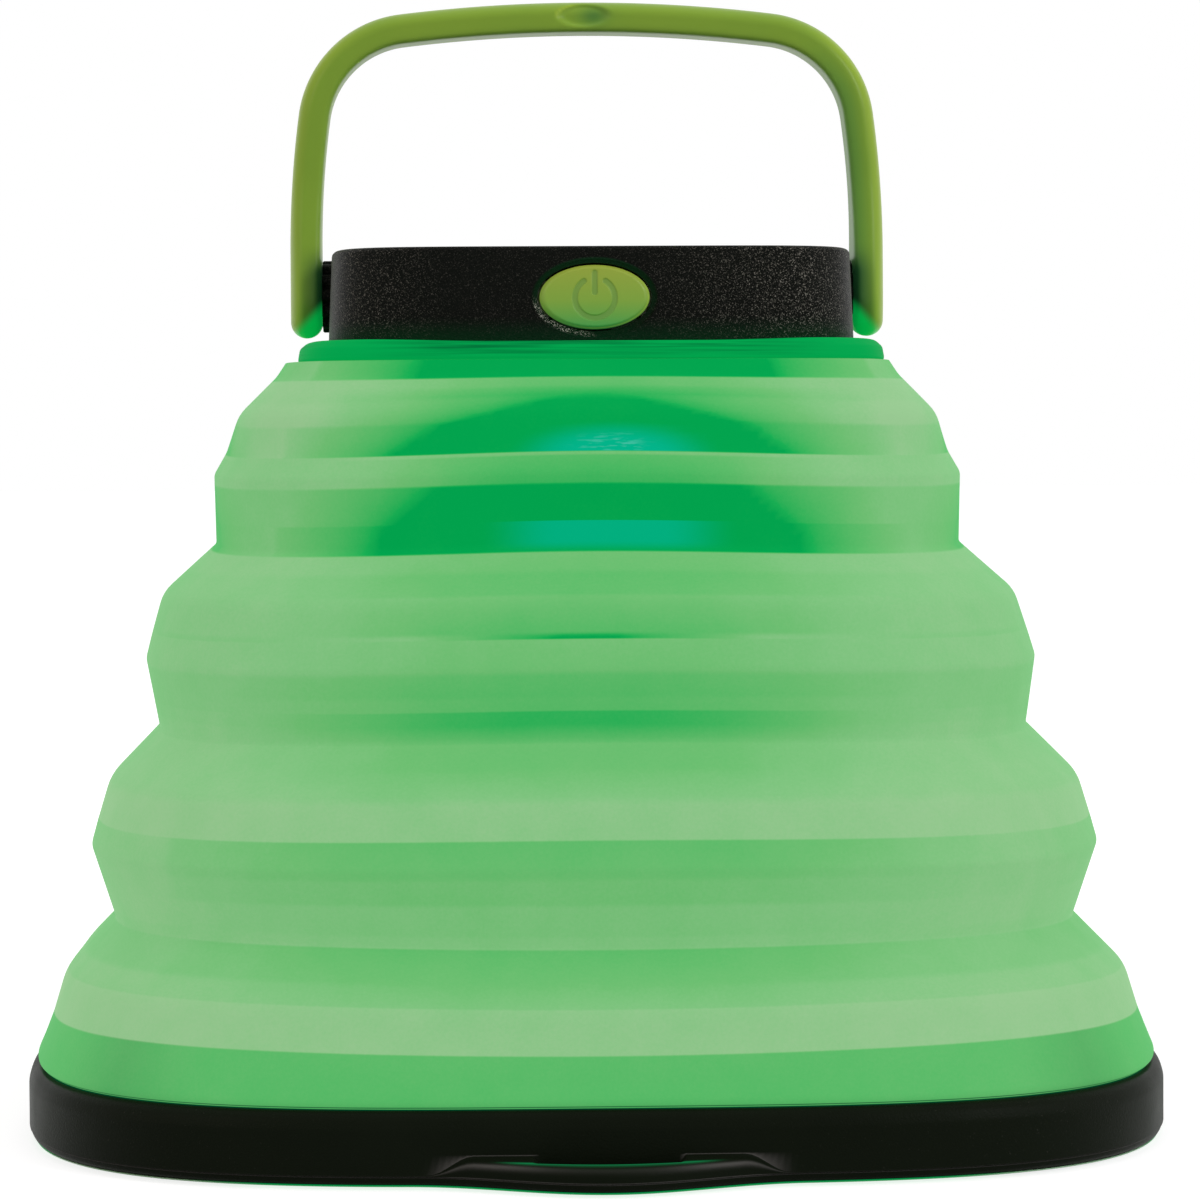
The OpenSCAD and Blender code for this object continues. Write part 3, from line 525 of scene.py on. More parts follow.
def buttonPlastic():
    # the same lime, thinner, with painted green light from below, a painted glow in its own colour, a darker
    # sunken symbol and a painted highlight on its lower right edge
    made, tree, shader = newMaterial(
        "buttonPlastic", Roughness=0.4, Specular_IOR_Level=0.3, Emission_Strength=0.35)
    grain = useGroup(tree, wrinkleGrain, Cell=0.35, Speckle=0.1)
    # painted green light from below: the lime turns greener towards the button's foot
    share = remap(tree, heights(tree)[2], buttonZ - button["halfHeight"], buttonZ + button["halfHeight"])
    lime = ramp(tree, share, (
        (0.0, colour(58, 144, 70)), (0.2, colour(92, 150, 62)),
        (0.45, colour(119, 153, 56)), (1.0, colour(138, 153, 54))))
    lime = mixed(tree, sums(tree, "MULTIPLY", mark(tree, "symbol"), 0.65), lime, colour(96, 134, 60))
    lime = mixed(tree, mark(tree, "edge"), lime, colour(170, 196, 72))
    feed(tree, shader, Base_Color=lime, Emission_Color=lime)
    addBump(tree, shader, grain["Height"], 0.008, 0.6)
    return made


shade = {
    "wall": 1.2,
    "footHalf": 55.3, "flangeIn": 3.2,          # foot, and how far the top flange reaches in from the collar
    "squareFrom": 66,                           # from here up the outline turns into the collar's
    "crestInset": [2.4, 6.85, 12.55, 20.25],    # each fold's crest inside the base outline, lowest first
    "crestZ": [11.75, 30.6, 48.9, 67.1],
    "lift": [-0.3, 0.1, 0.2, 0.3],              # rise of each fold at the middle of a side
    "valleyRise": [9.2, 9.2, 9.0, 0], "valleyIn": [6.2, 6.2, 6.6, 0],
    "shoulderRise": [4.2, 4.2, 4.2, 3.85], "shoulderIn": [1.25, 1.25, 1.25, 1.4],
    "bellyDrop": 2.2, "bellyOut": [0.85, 0.6, 0.6, 1.25],
    "softness": 0.35, "shoulderSoftness": 1.0,    # length of the curve at the folds' edges
    "lean": -0.4, "leanOver": [36, 56],         # sideways drift of the upper folds, and where it comes in
    "sideGlow": 0.35,                           # depth of the glow on the left and right sides, 1 as in front
    "glowAside": -0.9,                          # how far the glow's middle is off the side's middle
    "glowLow": -4.1, "glowLowOver": [22, 58],   # more of that on the lower folds, fading out upwards
    "glowTop": 0.8, "glowTopOver": [66, 75],    # and less at the top
    "columns": 320,
}

# the lamp showing through the middle of each side, in mm: "aside" is counted along the side from its
# middle, "over" is where a tone fades out, "from" and "to" are heights
lampDome = {"aside": 1.5, "half": 10.5, "z": 66.9, "high": 3.1, "from": 66.95, "to": 71}
lampPatch = {"aside": 1.0, "over": [5, 12.5], "riseOver": [57.3, 58.5], "to": 60.4, "strength": 0.8}
lampGlint = {"aside": 1.3, "half": 5, "z": 67.6, "high": 1.0}

# how each wall of the folds glows, from the foot up. 0 is deep green, next to the lamp, and 1 is pale.
# columns: top of the wall, level at its foot, at its top and at the corners, where its change to the
# corners' level starts and ends (mm from the middle of a side), softness of its top edge, and how much
# sooner the change starts towards its top
wallGlow = [
    (12.0, 0.55, 0.62, 0.64, 20, 46, 0.1, 0), (16.1, 0.95, 0.92, 0.98, 6, 44, 0.1, 0),
    (18.0, 0.84, 0.74, 0.92, 8, 42, 0.3, 0), (21.0, 0.73, 0.64, 0.86, 12, 44, 0.1, 0),
    (22.2, 0.86, 0.84, 0.9, 8, 44, 0.2, 0), (25.1, 0.81, 0.82, 0.92, 10, 46, 0.3, 0),
    (27.5, 0.75, 0.76, 0.92, 12, 48, 0.3, 0), (31.05, 0.7, 0.64, 0.92, 12, 48, 0.1, 0),
    (34.6, 0.91, 0.92, 0.97, 6, 38, 0.5, 0), (37.4, 0.86, 0.73, 0.93, 8, 38, 0.3, 0),
    (39.65, 0.71, 0.71, 0.92, 8, 36, 0.1, 0), (41.4, 0.66, 0.34, 0.9, 5, 36, 0.2, 0),
    (42.7, 0.31, 0.32, 0.88, 3, 36, 0.1, 0), (44.0, 0.57, 0.6, 0.86, 4, 36, 0.3, 0),
    (46.3, 0.56, 0.62, 0.86, 6, 38, 0.3, 0), (49.45, 0.72, 0.77, 0.9, 8, 36, 0.08, 0),
    (49.9, 0.0, 0.1, 0.86, 3.5, 17, 0.25, 0.3), (53.5, 0.56, 0.74, 0.9, 4, 34, 0.2, 0),
    (55.6, 0.66, 0.64, 0.9, 6, 34, 0.3, 0), (57.45, 0.7, 0.75, 0.92, 6, 32, 0.1, 0),
    (60.3, 0.0, 0.0, 0.84, 20.7, 32, 0.1, 0.05), (63.9, 0.0, 0.0, 0.82, 18.9, 29, 0.15, 0.22),
    (66.6, 0.38, 0.56, 0.9, 5, 26, 0.1, 0), (66.95, 0.74, 0.78, 0.9, 4, 24, 0.08, 0),
    (69.9, 0.0, 0.0, 0.97, 19.2, 31, 0.2, 0.26), (72.2, 0.0, 0.0, 1.0, 13.7, 28, 0.3, 0.75),
    (73.4, 0.1, 0.6, 0.98, 1, 30, 0.15, 0), (74.3, 0.62, 0.66, 0.98, 1, 30, 0.1, 0),
    (76.2, 0.0, 0.0, 0.9, 17.4, 31, 0.1, 0.04),
]


def shadeProfile():
    # outside of the shade from the foot up, as [half width, z, lift, softness of the corner]
    topZ, hard = shadeHigh[2], shade["softness"]
    points = [
        [shade["footHalf"], ringHigh[2] - 0.4, 0, 0.1], [shade["footHalf"], ringHigh[2], 0, 0.1],
        [baseHalf - 0.95, ringHigh[2] + 0.45, 0, hard], [baseHalf - 0.88, ringHigh[2] + 0.9, 0, hard],
    ]
    keys = "crestInset", "crestZ", "lift", "bellyOut", "shoulderRise", "shoulderIn", "valleyRise", "valleyIn"
    folds = zip(*(shade[key] for key in keys))
    for inset, z, lift, belly, shoulderRise, shoulderIn, valleyRise, valleyIn in folds:
        crest = baseHalf - inset
        points.append([crest + belly, z - shade["bellyDrop"], lift, hard])
        points.append([crest, z, lift, hard])
        points.append([crest - shoulderIn, z + shoulderRise, lift, shade["shoulderSoftness"]])
        if z < shade["crestZ"][-1]:
            points.append([crest - valleyIn, z + valleyRise, lift + 0.075, hard])
    points.append([collarHigh[0] + 1.75, topZ - 1.35, 0.1, hard])
    points.append([collarHigh[0] + 1.2, topZ - 0.55, 0, hard])
    points.append([collarHigh[0] + 0.85, topZ, 0, hard])
    return np.array(points)


def alongSide(x, y):
    # millimetres along the nearest side from its middle, counted anticlockwise from above
    turned = (np.arctan2(y, x) + np.pi / 4) % (np.pi / 2) - np.pi / 4
    return np.hypot(x, y) * np.sin(turned)


def glowAt(x, y, z):
    # level of each point: from the foot up, each wall's own level takes over from the one below it.
    # a pale wall changes along its side by an S curve, a deep one by a square root, as its edge is sharp
    lower, upper = smooth(z, *shade["glowLowOver"]), smooth(z, *shade["glowTopOver"])
    shift = shade["glowAside"] + shade["glowLow"] * (1 - lower) + shade["glowTop"] * upper
    away = np.abs(alongSide(x, y) - shift)
    beside = np.where(np.abs(x) > np.abs(y), shade["sideGlow"], 1)
    foot, edge = ringHigh[2] - 1, 0.1
    level = np.zeros(z.shape)
    for top, low, high, corner, start, end, soft, narrow in wallGlow:
        share = np.clip((z - foot) / (top - foot), 0, 1)
        middle = low + (high - low) * share
        begin = start * (1 - narrow * share)
        fromStart = np.clip((away - begin) / (end - begin), 0, 1)
        deep = np.clip(1 - middle / 0.3, 0, 1)
        change = smooth(fromStart, 0, 1) * (1 - deep) + np.sqrt(fromStart) * deep
        own = corner - (corner - middle) * (1 - change) * beside
        level = level + (own - level) * smooth(z, foot - edge, foot + edge)
        foot, edge = top, soft
    return level


def ovalReach(along, z, spot):
    # distance from the middle of an oval spot, where 1 is its edge
    return np.hypot((along - spot["aside"]) / spot["half"], (z - spot["z"]) / spot["high"])


def makeShade():
    # the outside with extra rows where a wall's glow changes, then the inside from the flange down
    turns = evenTurns(shade["columns"])
    corners = shadeProfile()
    line = roundedLine(corners[:, :3], corners[1:-1, 3])
    tops, softs = np.array(wallGlow)[:-1, [0, 6]].T
    steps = [tops + share * softs for share in (-1, -0.33, 0.33, 1)]
    footLine = ringHigh[2] + np.array([0.08, 0.12, 0.18, 0.22, 0.3, 0.34])
    rows = [line[:, 1], *steps, footLine, np.arange(8, line[-1, 1], 0.7)]
    z = np.unique(np.round(np.concatenate(rows), 3))
    half, lift = np.interp(z, line[:, 1], line[:, 0]), np.interp(z, line[:, 1], line[:, 2])
    outer = np.stack([half, z], 1)
    corners = corners[1:-1, :3][::-1]
    topZ, wall, flange = shadeHigh[2], shade["wall"], collarHigh[0] - shade["flangeIn"]
    inner = [[outer[-1, 0] - 0.3, topZ, 0], [flange, topZ, 0], [flange, topZ - wall, 0],
             [collarHigh[0] - 0.3, topZ - wall, 0]]
    inner = np.vstack([inner, corners[3:] - [wall, 0, 0], [[shade["footHalf"] - wall, ringHigh[2] - 0.4, 0]]])
    profile = np.vstack([outer, inner[:, :2]])
    rise = np.concatenate([lift, inner[:, 2]])
    squarer = squareness["collar"] - squareness["base"]
    square = squareness["base"] + squarer * smooth(profile[:, 1], shade["squareFrom"], topZ)
    grid = carried(profile, square, turns)
    x, y, flat = grid[..., 0], grid[..., 1], grid[..., 2].copy()
    grid[..., 2] += rise[:, None] * np.cos(4 * turns)[None]
    outside = np.arange(len(profile))[:, None] < len(z)
    grid[..., 0] += shade["lean"] * smooth(flat, *shade["leanOver"])
    along = alongSide(x, y)
    # the lamp shows through as a low dome of blue-green above the top fold and a flat patch below it
    dome = ovalReach(along, flat, lampDome)
    core = (1 - smooth(dome, 0.35, 1)) * (flat > lampDome["from"]) * (flat < lampDome["to"])
    patch = 1 - smooth(np.abs(along - lampPatch["aside"]), *lampPatch["over"])
    patch = patch * smooth(flat, *lampPatch["riseOver"]) * (flat < lampPatch["to"])
    core = (core + lampPatch["strength"] * patch) * (np.abs(y) >= np.abs(x))
    glint = (1 - smooth(ovalReach(along, flat, lampGlint), 0.3, 1)) * (flat > lampDome["from"])
    # painted shade where the silicone meets the base: two dark lines with a bright one between, and painted
    # shade on the corners above
    above = flat - ringHigh[2]
    foot = np.where(above < 0.1, 1, np.where(above < 0.2, 0, np.where(above < 0.32, 0.75, 0)))
    foot = np.maximum(foot, 0.28 * smooth(np.abs(along), 36, 52) * (flat < 12.05))
    marks = {"pale": np.where(outside, glowAt(x, y, flat), 0.75), "core": core * outside,
             "glint": glint * outside, "foot": foot}
    return addPiece("shadeSkin", grid, "base", shadeSilicone, wrapRows=True, sharp=50,
                    marks=marks)


shadeSkin = makeShade()
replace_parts(shadeSkin, "shade")
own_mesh(shadeSkin)
print("stage: folding shade")


collar = {
    "rim": 0.3, "cornerRim": 0.25,      # raised rim round the head's foot, and how much more at the corners
    "tuck": 1.6,                        # how far it reaches in under the head
    "columns": 224,
}


def makeCollar():
    # a flat ring with a rim, carried round the squared outline; the rim rises towards the corners
    low, high, half = collarLow[2], collarHigh[2], collarHigh[0]
    rim, inside = collar["rim"], headHalf - collar["tuck"]
    profile = roundedLine([
        [inside, low], [half - 0.1, low], [half, low + 0.25], [half - 0.2, high + rim - 0.4],
        [half - 0.8, high + rim], [headHalf + 0.1, high + rim], [headHalf + 0.1, high - 0.1],
        [inside, high - 0.1]], 0.3, closed=True)
    turns = evenTurns(collar["columns"])
    grid = carried(profile, squareness["collar"], turns)
    away = np.abs(alongSide(grid[..., 0], grid[..., 1]))
    grid[..., 2] += collar["cornerRim"] * smooth(grid[..., 2], high, high + rim) * smooth(away, 10, 24)
    return addPiece("collarRing", grid, "head", collarSilicone, wrapRows=True, marks={
        "pale": -0.06, "core": 0.0, "glint": 0.0, "middle": 1 - smooth(away, 14, 25)})


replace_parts(makeCollar(), "collar")


base = {
    "columns": 480,
    "lipHalf": 18.2, "lipOut": 5,
    "ridgeWide": 1.0, "ridgeMiddle": 1.7, "ridgeHigh": 0.85,
    "ledgeTop": 3.05,                 # where the top of the lip meets the wall, beside the slot
    "slotFloor": 1.6, "slotHalf": 6.45,
    "fallFrom": 12.4, "fallTo": 16.6,   # the lip's top comes down to the seam between these
    "spillOver": [7.5, 11],             # where the painted light in the slot fades out, from the middle
    "highlightOver": [14.5, 17],              # and where the painted highlight line beside the slot does
    "highlightBeside": 0.9, "highlightUnder": 0.75, # how strong the painted highlight on that line and on the lower edge is
    "highlightRidge": 0.14, "highlightPeak": 0.75,  # the same for the ridge's painted highlight, all along it and most of all round the place given next
    "highlightPeakAt": 11, "highlightPeakWide": 4.5,
}


def lipShare(x):
    # how far the lip stands out along x: 1 in the middle, and half a cosine wave down to 0
    return np.where(np.abs(x) < base["lipHalf"], (1 + np.cos(np.pi * x / base["lipHalf"])) / 2, 0)


def baseTurns(columns):
    # turns round the base with closer columns at the front, where the lip needs them
    even = evenTurns(columns)
    return np.sort((even - 0.22 * np.cos(even)) % (2 * np.pi))


def makeBaseShell():
    # each row of the outline is pushed out by the lip's share, and the lip's rows dip into the slot
    turns = baseTurns(base["columns"])
    seam, top, out = ringLow[2], ringHigh[2], base["lipOut"]
    bend = np.radians(np.linspace(0, 78, 9))
    ridge = np.stack([out - base["ridgeWide"] * (1 - np.cos(bend)),
                      base["ridgeMiddle"] + base["ridgeHigh"] * np.sin(bend)], 1)
    under = [[out - 0.05, seam], [out, seam + 0.05], [out, seam + 0.1]]
    front = np.vstack([under, ridge, [[3.5, 2.6], [3.0, 2.64]]])
    slot = np.array([[2.9, 2.5], [2.5, base["slotFloor"]], [0.25, base["slotFloor"]], [0, 1.8], [0, 2.9]])
    ledge = np.array([[2.4, 2.69], [1.6, 2.75], [0.8, 2.85], [0.15, 3.0], [0, base["ledgeTop"]]])
    wall = np.array([[0, 3.12], [0, 3.4], [0, 4.2], [0, 5.1]])
    edge = roundedLine([[baseHalf, 5.2], [baseHalf - 0.02, top - 1.5], [baseHalf - 0.28, top - 0.6],
                        [baseHalf - 0.8, top - 0.05], [baseHalf - 1.35, top]], 0.7)
    half = np.concatenate([np.full(len(front) + len(ledge) + len(wall), baseHalf), edge[:, 0],
                           [baseHalf - 1.4, baseHalf - 1.4]])[:, None]
    x, y = squared(half, squareness["base"], turns[None])
    away, atFront = np.abs(x), y < 0
    inSlot = (1 - smooth(away, base["slotHalf"] - 0.5, base["slotHalf"] + 0.5)) * atFront
    rest = np.stack([edge[:, 0] * 0, edge[:, 1]], 1)
    given = np.vstack([front, ledge, wall, rest, [[0, top - 0.1], [0, seam]]])
    cut = given.copy()
    cut[len(front):len(front) + len(ledge)] = slot
    section = given[:, None] + (cut - given)[:, None] * inSlot[..., None]
    lipRows = (np.arange(len(half)) < len(front) + len(ledge))[:, None]
    falling = (1 - smooth(away, base["fallFrom"], base["fallTo"])) * atFront
    height = np.where(lipRows, 0.05 + 0.95 * falling, 1)
    z = seam + (section[..., 1] - seam) * height
    y = y - section[..., 0] * lipShare(x) * atFront
    row = np.arange(len(half))[:, None]
    crest = len(front)
    # painted green light on the lip's top just behind the ridge, fading out from the middle
    spill = (row == crest - 2) * 0.35 + (row == crest - 1)
    spill = spill * (1 - smooth(away, *base["spillOver"])) * atFront
    aside = smooth(away, base["slotHalf"], base["slotHalf"] + 0.6)
    aside = aside * (1 - smooth(away, *base["highlightOver"])) * atFront
    # painted highlights: a line beside the slot, the shell's lower edge and the ridge, most of all round its
    # peak
    paintedHighlight = (row == crest + len(ledge) - 1) * base["highlightBeside"] * aside + (row < 2) * base["highlightUnder"]
    ridgeHighlight = base["highlightRidge"] + base["highlightPeak"] * bump(away, base["highlightPeakAt"], base["highlightPeakWide"])
    paintedHighlight = paintedHighlight + bump(row, crest - 6, 2.2) * (row < crest) * atFront * ridgeHighlight
    return addPiece("baseShell", np.stack([x, y, z], 2), "base", basePlastic, wrapRows=True,
                    marks={"spill": spill, "paintedHighlight": paintedHighlight}, sharp=32)


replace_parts(makeBaseShell(), "base_ring")


def bulged(profile, columns=360):
    # a profile of [half width, z, lip] carried round the base's outline, whose front bulges by lip x lipShare
    x, y = squared(profile[:, :1], squareness["base"], baseTurns(columns)[None])
    y = y - profile[:, 2:3] * lipShare(x) * (y < 0)
    return np.stack([x, y, np.broadcast_to(profile[:, 1:2], x.shape)], 2)


def makeBaseFoot():
    # the frame below the seam, with a painted highlight along its top edge
    low, high, half, lip = coverLow[2], ringLow[2] - 0.03, coverHigh[0], base["lipOut"]
    profile = np.array([
        [half - 3, high, lip], [half - 0.06, high, lip], [half, high - 0.06, lip],
        [half, high - 0.14, lip], [half - 0.04, low + 0.4, lip], [half - 0.16, low + 0.18, lip],
        [half - 0.4, low, lip], [half - 3, low, lip]])
    paintedHighlight = np.array([0, 0.45, 0.7, 0, 0, 0, 0, 0])[:, None]
    return addPiece("baseFoot", bulged(profile), "base", basePlastic, wrapRows=True,
                    marks={"spill": 0.0, "paintedHighlight": paintedHighlight}, sharp=32)


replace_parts(makeBaseFoot(), "base_cover")


def windowMaterial():
    # milky window under the base, with painted light spreading out of its edge and a painted glow over its
    # middle
    made, tree, shader = newMaterial(
        "milkyWindow", Roughness=0.35, Specular_IOR_Level=0.3, Emission_Strength=0.5)
    grain = useGroup(tree, wrinkleGrain, Cell=0.5, Speckle=0.1)
    rim = mark(tree, "rim")
    milk = mixed(tree, grain["Drift"], colour(176, 214, 178), colour(150, 203, 156))
    feed(tree, shader, Base_Color=mixed(tree, rim, milk, colour(0, 96, 50)))
    inside = mixed(tree, mark(tree, "inner"), unlit, colour(70, 190, 105))
    feed(tree, shader, Emission_Color=mixed(tree, rim, inside, colour(0, 170, 86)))
    addBump(tree, shader, grain["Height"], 0.01, 0.5)
    return made


window = {
    "rimTop": 0.25,                     # top of the thin rim that shows beneath the base
    "plugHalf": 45.3,                   # half the width of the thick middle, inside the base's wall
    "grooveFrom": 43.2, "grooveTo": 44.8, "grooveDeep": 0.12,
}


def makeWindow():
    # a plate with a groove near its edge, a thin rim outside it and a thick middle
    low, high, half, lip = windowLow[2], windowHigh[2], windowHigh[0], base["lipOut"]
    rimTop, plug = window["rimTop"], window["plugHalf"]
    start, end, groove = window["grooveFrom"], window["grooveTo"], low + window["grooveDeep"]
    profile = np.array([
        [3, low, 0], [15, low, 0], [30, low, 0], [start, low, 0], [start + 0.4, groove, 0],
        [end - 0.4, groove, 0], [end, low, 0], [half - 2.2, low, lip], [half - 0.8, low, lip],
        [half - 0.1, low + 0.1, lip], [half, low + 0.15, lip], [half, rimTop - 0.02, lip],
        [half - 0.1, rimTop, lip], [half - 4, rimTop, lip * 0.5], [plug, rimTop, 0],
        [plug - 0.1, high, 0], [30, high, 0], [15, high, 0], [3, high, 0]])
    grid = bulged(profile)
    away = np.abs(alongSide(grid[..., 0], grid[..., 1]))
    rim = smooth(profile[:, :1], half - 3, half - 1) * (1 - smooth(away, 30, 40))
    return addPiece("windowPlate", grid, "base", windowMaterial(), sharp=30, marks={
        "rim": rim, "inner": 1 - smooth(profile[:, :1], 38, 44)})


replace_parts(makeWindow(), "bottom_window")
print("stage: collar and base")


def headProfile():
    # section of the housing from its foot up the outside, over the edge and down into the panel's pocket
    foot, top, half = headLow[2], headHigh[2], headHalf
    upper = half - headTaper
    pocket = panelHigh[0] + 0.15
    bend = np.radians(np.linspace(0, 90, 9))
    wallZ = np.linspace(foot + 0.15, top - head["edge"], 12)[:-1]
    wall = np.stack([half - headTaper * (wallZ - foot) / (top - head["edge"] - foot), wallZ], 1)
    edgeIn, edgeDown = head["edge"] * (1 - np.cos(bend)), head["edge"] * (1 - np.sin(bend))
    roundEdge = np.stack([upper - edgeIn, top - edgeDown], 1)
    floorZ = top - head["pocketDeep"]
    rest = [
        [pocket + 0.25, top], [pocket + 0.08, top - 0.06], [pocket, top - 0.22], [pocket, floorZ],
        [pocket - head["ledgeIn"], floorZ], [pocket - head["ledgeIn"], floorZ - head["ledgeThick"]],
        [half - head["wall"], floorZ - head["ledgeThick"]], [half - head["wall"], foot],
        [half - 0.15, foot],
    ]
    return np.vstack([wall, roundEdge, rest])


def ovalTube(name, rings):
    # a closed solid through ellipses given as [half width, half height, y], for cutting
    turns = evenTurns(128)
    a, b, y = np.array(rings).T[:, :, None]
    deep = np.broadcast_to(y, (len(rings), len(turns)))
    grid = np.stack([a * np.cos(turns), deep, buttonZ + b * np.sin(turns)], 2)
    return addPiece(name, grid, None, headPlastic)


def roundedBlock(name, halfWidth, halfHeight, middleZ, yFrom, yTo, power):
    # a block with rounded corners that runs along y, for cutting
    turns = evenTurns(64)
    u, v = squared(1, power, turns)
    y = np.array([[yFrom], [yTo]])
    grid = np.stack([np.broadcast_to(halfWidth * u, (2, 64)), np.broadcast_to(y, (2, 64)),
                     np.broadcast_to(middleZ + halfHeight * v, (2, 64))], 2)
    return addPiece(name, grid, None, headPlastic)


def makeHead():
    # the squared shell, less the button's hole and dish and the charging port with its recess
    shell = addPiece("headShell", carried(headProfile(), squareness["head"], evenTurns(head["columns"])),
                     "head", headPlastic, wrapRows=True)
    a, b, gap = button["halfWidth"] + head["gap"], button["halfHeight"] + head["gap"], head["gap"]
    wide = head["bevelWide"]
    hole = ovalTube("hole", [[a, b, faceY - 2], [a, b, faceY + 2.6]])
    dish = [[wide + 0.35, -0.7], [wide, 0.0], [wide * 0.78, 0.1], [wide * 0.5, 0.24],
            [wide * 0.2, 0.38], [-0.2, 0.46]]
    bevel = ovalTube("bevel", [[a + grow, b + grow, faceY + deep] for grow, deep in dish])
    flapMiddle = (flapLow[2] + flapHigh[2]) / 2
    recess = roundedBlock("recess", flapHigh[0] + gap, (flapHigh[2] - flapLow[2]) / 2 + gap, flapMiddle,
                          flapHigh[1] - port["recessDeep"], flapHigh[1] + 2, port["recessPower"])
    opening = roundedBlock("opening", port["halfWidth"], port["halfHeight"], flapMiddle - port["drop"],
                           headHalf - 3, headHalf + 2, port["power"])
    carve(shell, [hole, bevel, recess, opening])
    return shell


headShell = makeHead()
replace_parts(headShell, "head_housing")


boss = {"radius": 3.7, "bore": 1.6, "notchDeep": 0.6, "notchStep": 30, "notchWide": 6}    # steps in degrees


def makeHingeBosses():
    # notched discs that the handle's legs click round, one on each side of the head
    turns = evenTurns(192)
    notch = np.zeros(len(turns))
    for middle in np.arange(boss["notchStep"] / 2, 360, boss["notchStep"]):
        notch += bump((np.degrees(turns) - middle + 180) % 360 - 180, 0, boss["notchWide"])
    start, end = headHalf - 1.2, legInner - 0.08
    outer, bore = boss["radius"], boss["bore"]
    rows = [[start, outer, 0], [headHalf, outer, 1], [end - 0.12, outer, 1], [end, outer - 0.12, 1],
            [end, bore, 0], [start, bore, 0]]
    for side, name in ((1, "hingeBossRight"), (-1, "hingeBossLeft")):
        x, radius, cut = np.array(rows).T[:, :, None]
        r = radius - boss["notchDeep"] * cut * notch
        outward = np.broadcast_to(side * x, r.shape)
        grid = np.stack([outward, r * np.cos(turns), pivotZ + r * np.sin(turns)], 2)
        addPiece(name, grid, "head", headPlastic, wrapRows=True)


makeHingeBosses()


def clearResin():
    # clear cast resin with a faint drift of tone and a nearly flat surface
    made, tree, shader = newMaterial("panelResin", Roughness=0.05, Transmission_Weight=0.96, IOR=1.42)
    grain = useGroup(tree, wrinkleGrain, Cell=2.5, Speckle=0.1)
    feed(tree, shader, Base_Color=mixed(tree, grain["Drift"], (0.93, 0.95, 0.97, 1), (0.86, 0.9, 0.95, 1)))
    addBump(tree, shader, grain["Height"], 0.004, 0.4)
    return made


def makePanelCover():
    # a squared plate with its upper edge rounded
    low, high, half = panelLow[2], panelHigh[2], panelHigh[0]
    profile = np.array([
        [2, low], [half * 0.6, low], [half, low], [half, high - 0.25], [half - 0.08, high - 0.08],
        [half - 0.3, high], [half * 0.6, high], [2, high]])
    grid = carried(profile, squareness["head"], evenTurns(192))
    return addPiece("panelCover", grid, "head", clearResin())


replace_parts(makePanelCover(), "panel_cover")


def makeFlap():
    # rubber cover of the charging port: a rounded plate with a thin raised rim and a nick to lift it by
    made = blackPlastic("flapRubber", 0.35, 0.1, colour(26, 27, 25), colour(64, 64, 62), 0.02, 0.62)
    middle, halfHeight = (flapLow[2] + flapHigh[2]) / 2, (flapHigh[2] - flapLow[2]) / 2
    outside = flapHigh[1]
    turns = evenTurns(160)
    u, v = squared(1, 6, turns)
    # share of the half width, inset from it, and depth behind the outside, from the plug's end to the front
    rows = [[0.1, 0.05, 1.5], [0.48, 0, 1.5], [0.5, 0, 1.35], [0.5, 0, 0.9], [0.9, 0, 0.9], [1, 0.1, 0.86],
            [1, 0, 0.7], [1, 0, 0.2], [1, 0.12, 0.03], [1, 0.3, 0], [1, 0.75, 0], [1, 0.9, 0.12],
            [0.3, 0.5, 0.12]]
    share, inset, deep = np.array(rows).T[:, :, None]
    y = outside - deep
    nick = bump(u, 0, 0.22) * (v > 0) * smooth(share, 0.4, 0.9) * smooth(y, outside - 0.3, outside)
    grid = np.stack([(flapHigh[0] - inset) * share * u,
                     y + 0 * u - 0.25 * nick,
                     middle + (halfHeight - inset) * share * v - 0.45 * nick], 2)
    return addPiece("socketFlap", grid, "flap", made, sharp=30)


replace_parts(makeFlap(), "socket_flap")


def makeButton():
    # a polar grid: an oval dome whose power symbol is pressed in, then its side and its back
    turns = evenTurns(320)
    share = np.concatenate([np.linspace(0.02, 0.96, 110), [0.975, 0.988, 0.996, 1.0]])[:, None]
    x = button["halfWidth"] * share * np.cos(turns)
    v = button["halfHeight"] * share * np.sin(turns)
    front = faceY - button["dome"]
    y = front + 0.13 * share ** 2 + 0.42 * smooth(share, 0.86, 1.02) ** 2 + 0 * x
    drop = v + button["symbolDrop"]
    radius = np.hypot(x, drop)
    angle = np.degrees(np.arctan2(np.abs(x), drop))
    half = button["lineWide"] / 2
    gap = math.radians(button["gapHalf"])
    endX, endZ = button["ringRadius"] * math.sin(gap), button["ringRadius"] * math.cos(gap)
    toRing = np.where(angle > button["gapHalf"], np.abs(radius - button["ringRadius"]),
                      np.hypot(np.abs(x) - endX, drop - endZ))
    barZ = np.clip(v, button["barFoot"] + half, button["barTop"] - half)
    toBar = np.hypot(x, v - barZ)
    symbol = 1 - smooth(np.minimum(toRing, toBar), half - 0.09, half + 0.07)
    y = y + button["symbolDeep"] * symbol
    back = np.array([[faceY + 0.6], [faceY + 1.9], [faceY + 1.9]])
    around = np.array([[1.0], [1.0], [0.05]])
    x = np.vstack([x, button["halfWidth"] * around * np.cos(turns)])
    z = buttonZ + np.vstack([v, button["halfHeight"] * around * np.sin(turns)])
    y = np.vstack([y, np.broadcast_to(back, (3, len(turns)))])
    plain = np.zeros((3, len(turns)))
    symbol = np.vstack([symbol, plain])
    # a painted highlight along the dome's lower right edge
    lowRightHighlight = smooth(np.cos(turns - math.radians(-38)), -0.1, 0.7)
    edge = np.vstack([bump(share, 0.975, 0.014) * lowRightHighlight, plain])
    return addPiece("powerButton", np.stack([x, y, z], 2), "button", buttonPlastic(),
                    marks={"symbol": symbol, "edge": 0.4 * edge}, sharp=60)


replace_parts(makeButton(), "power_button")
print("stage: head and button")


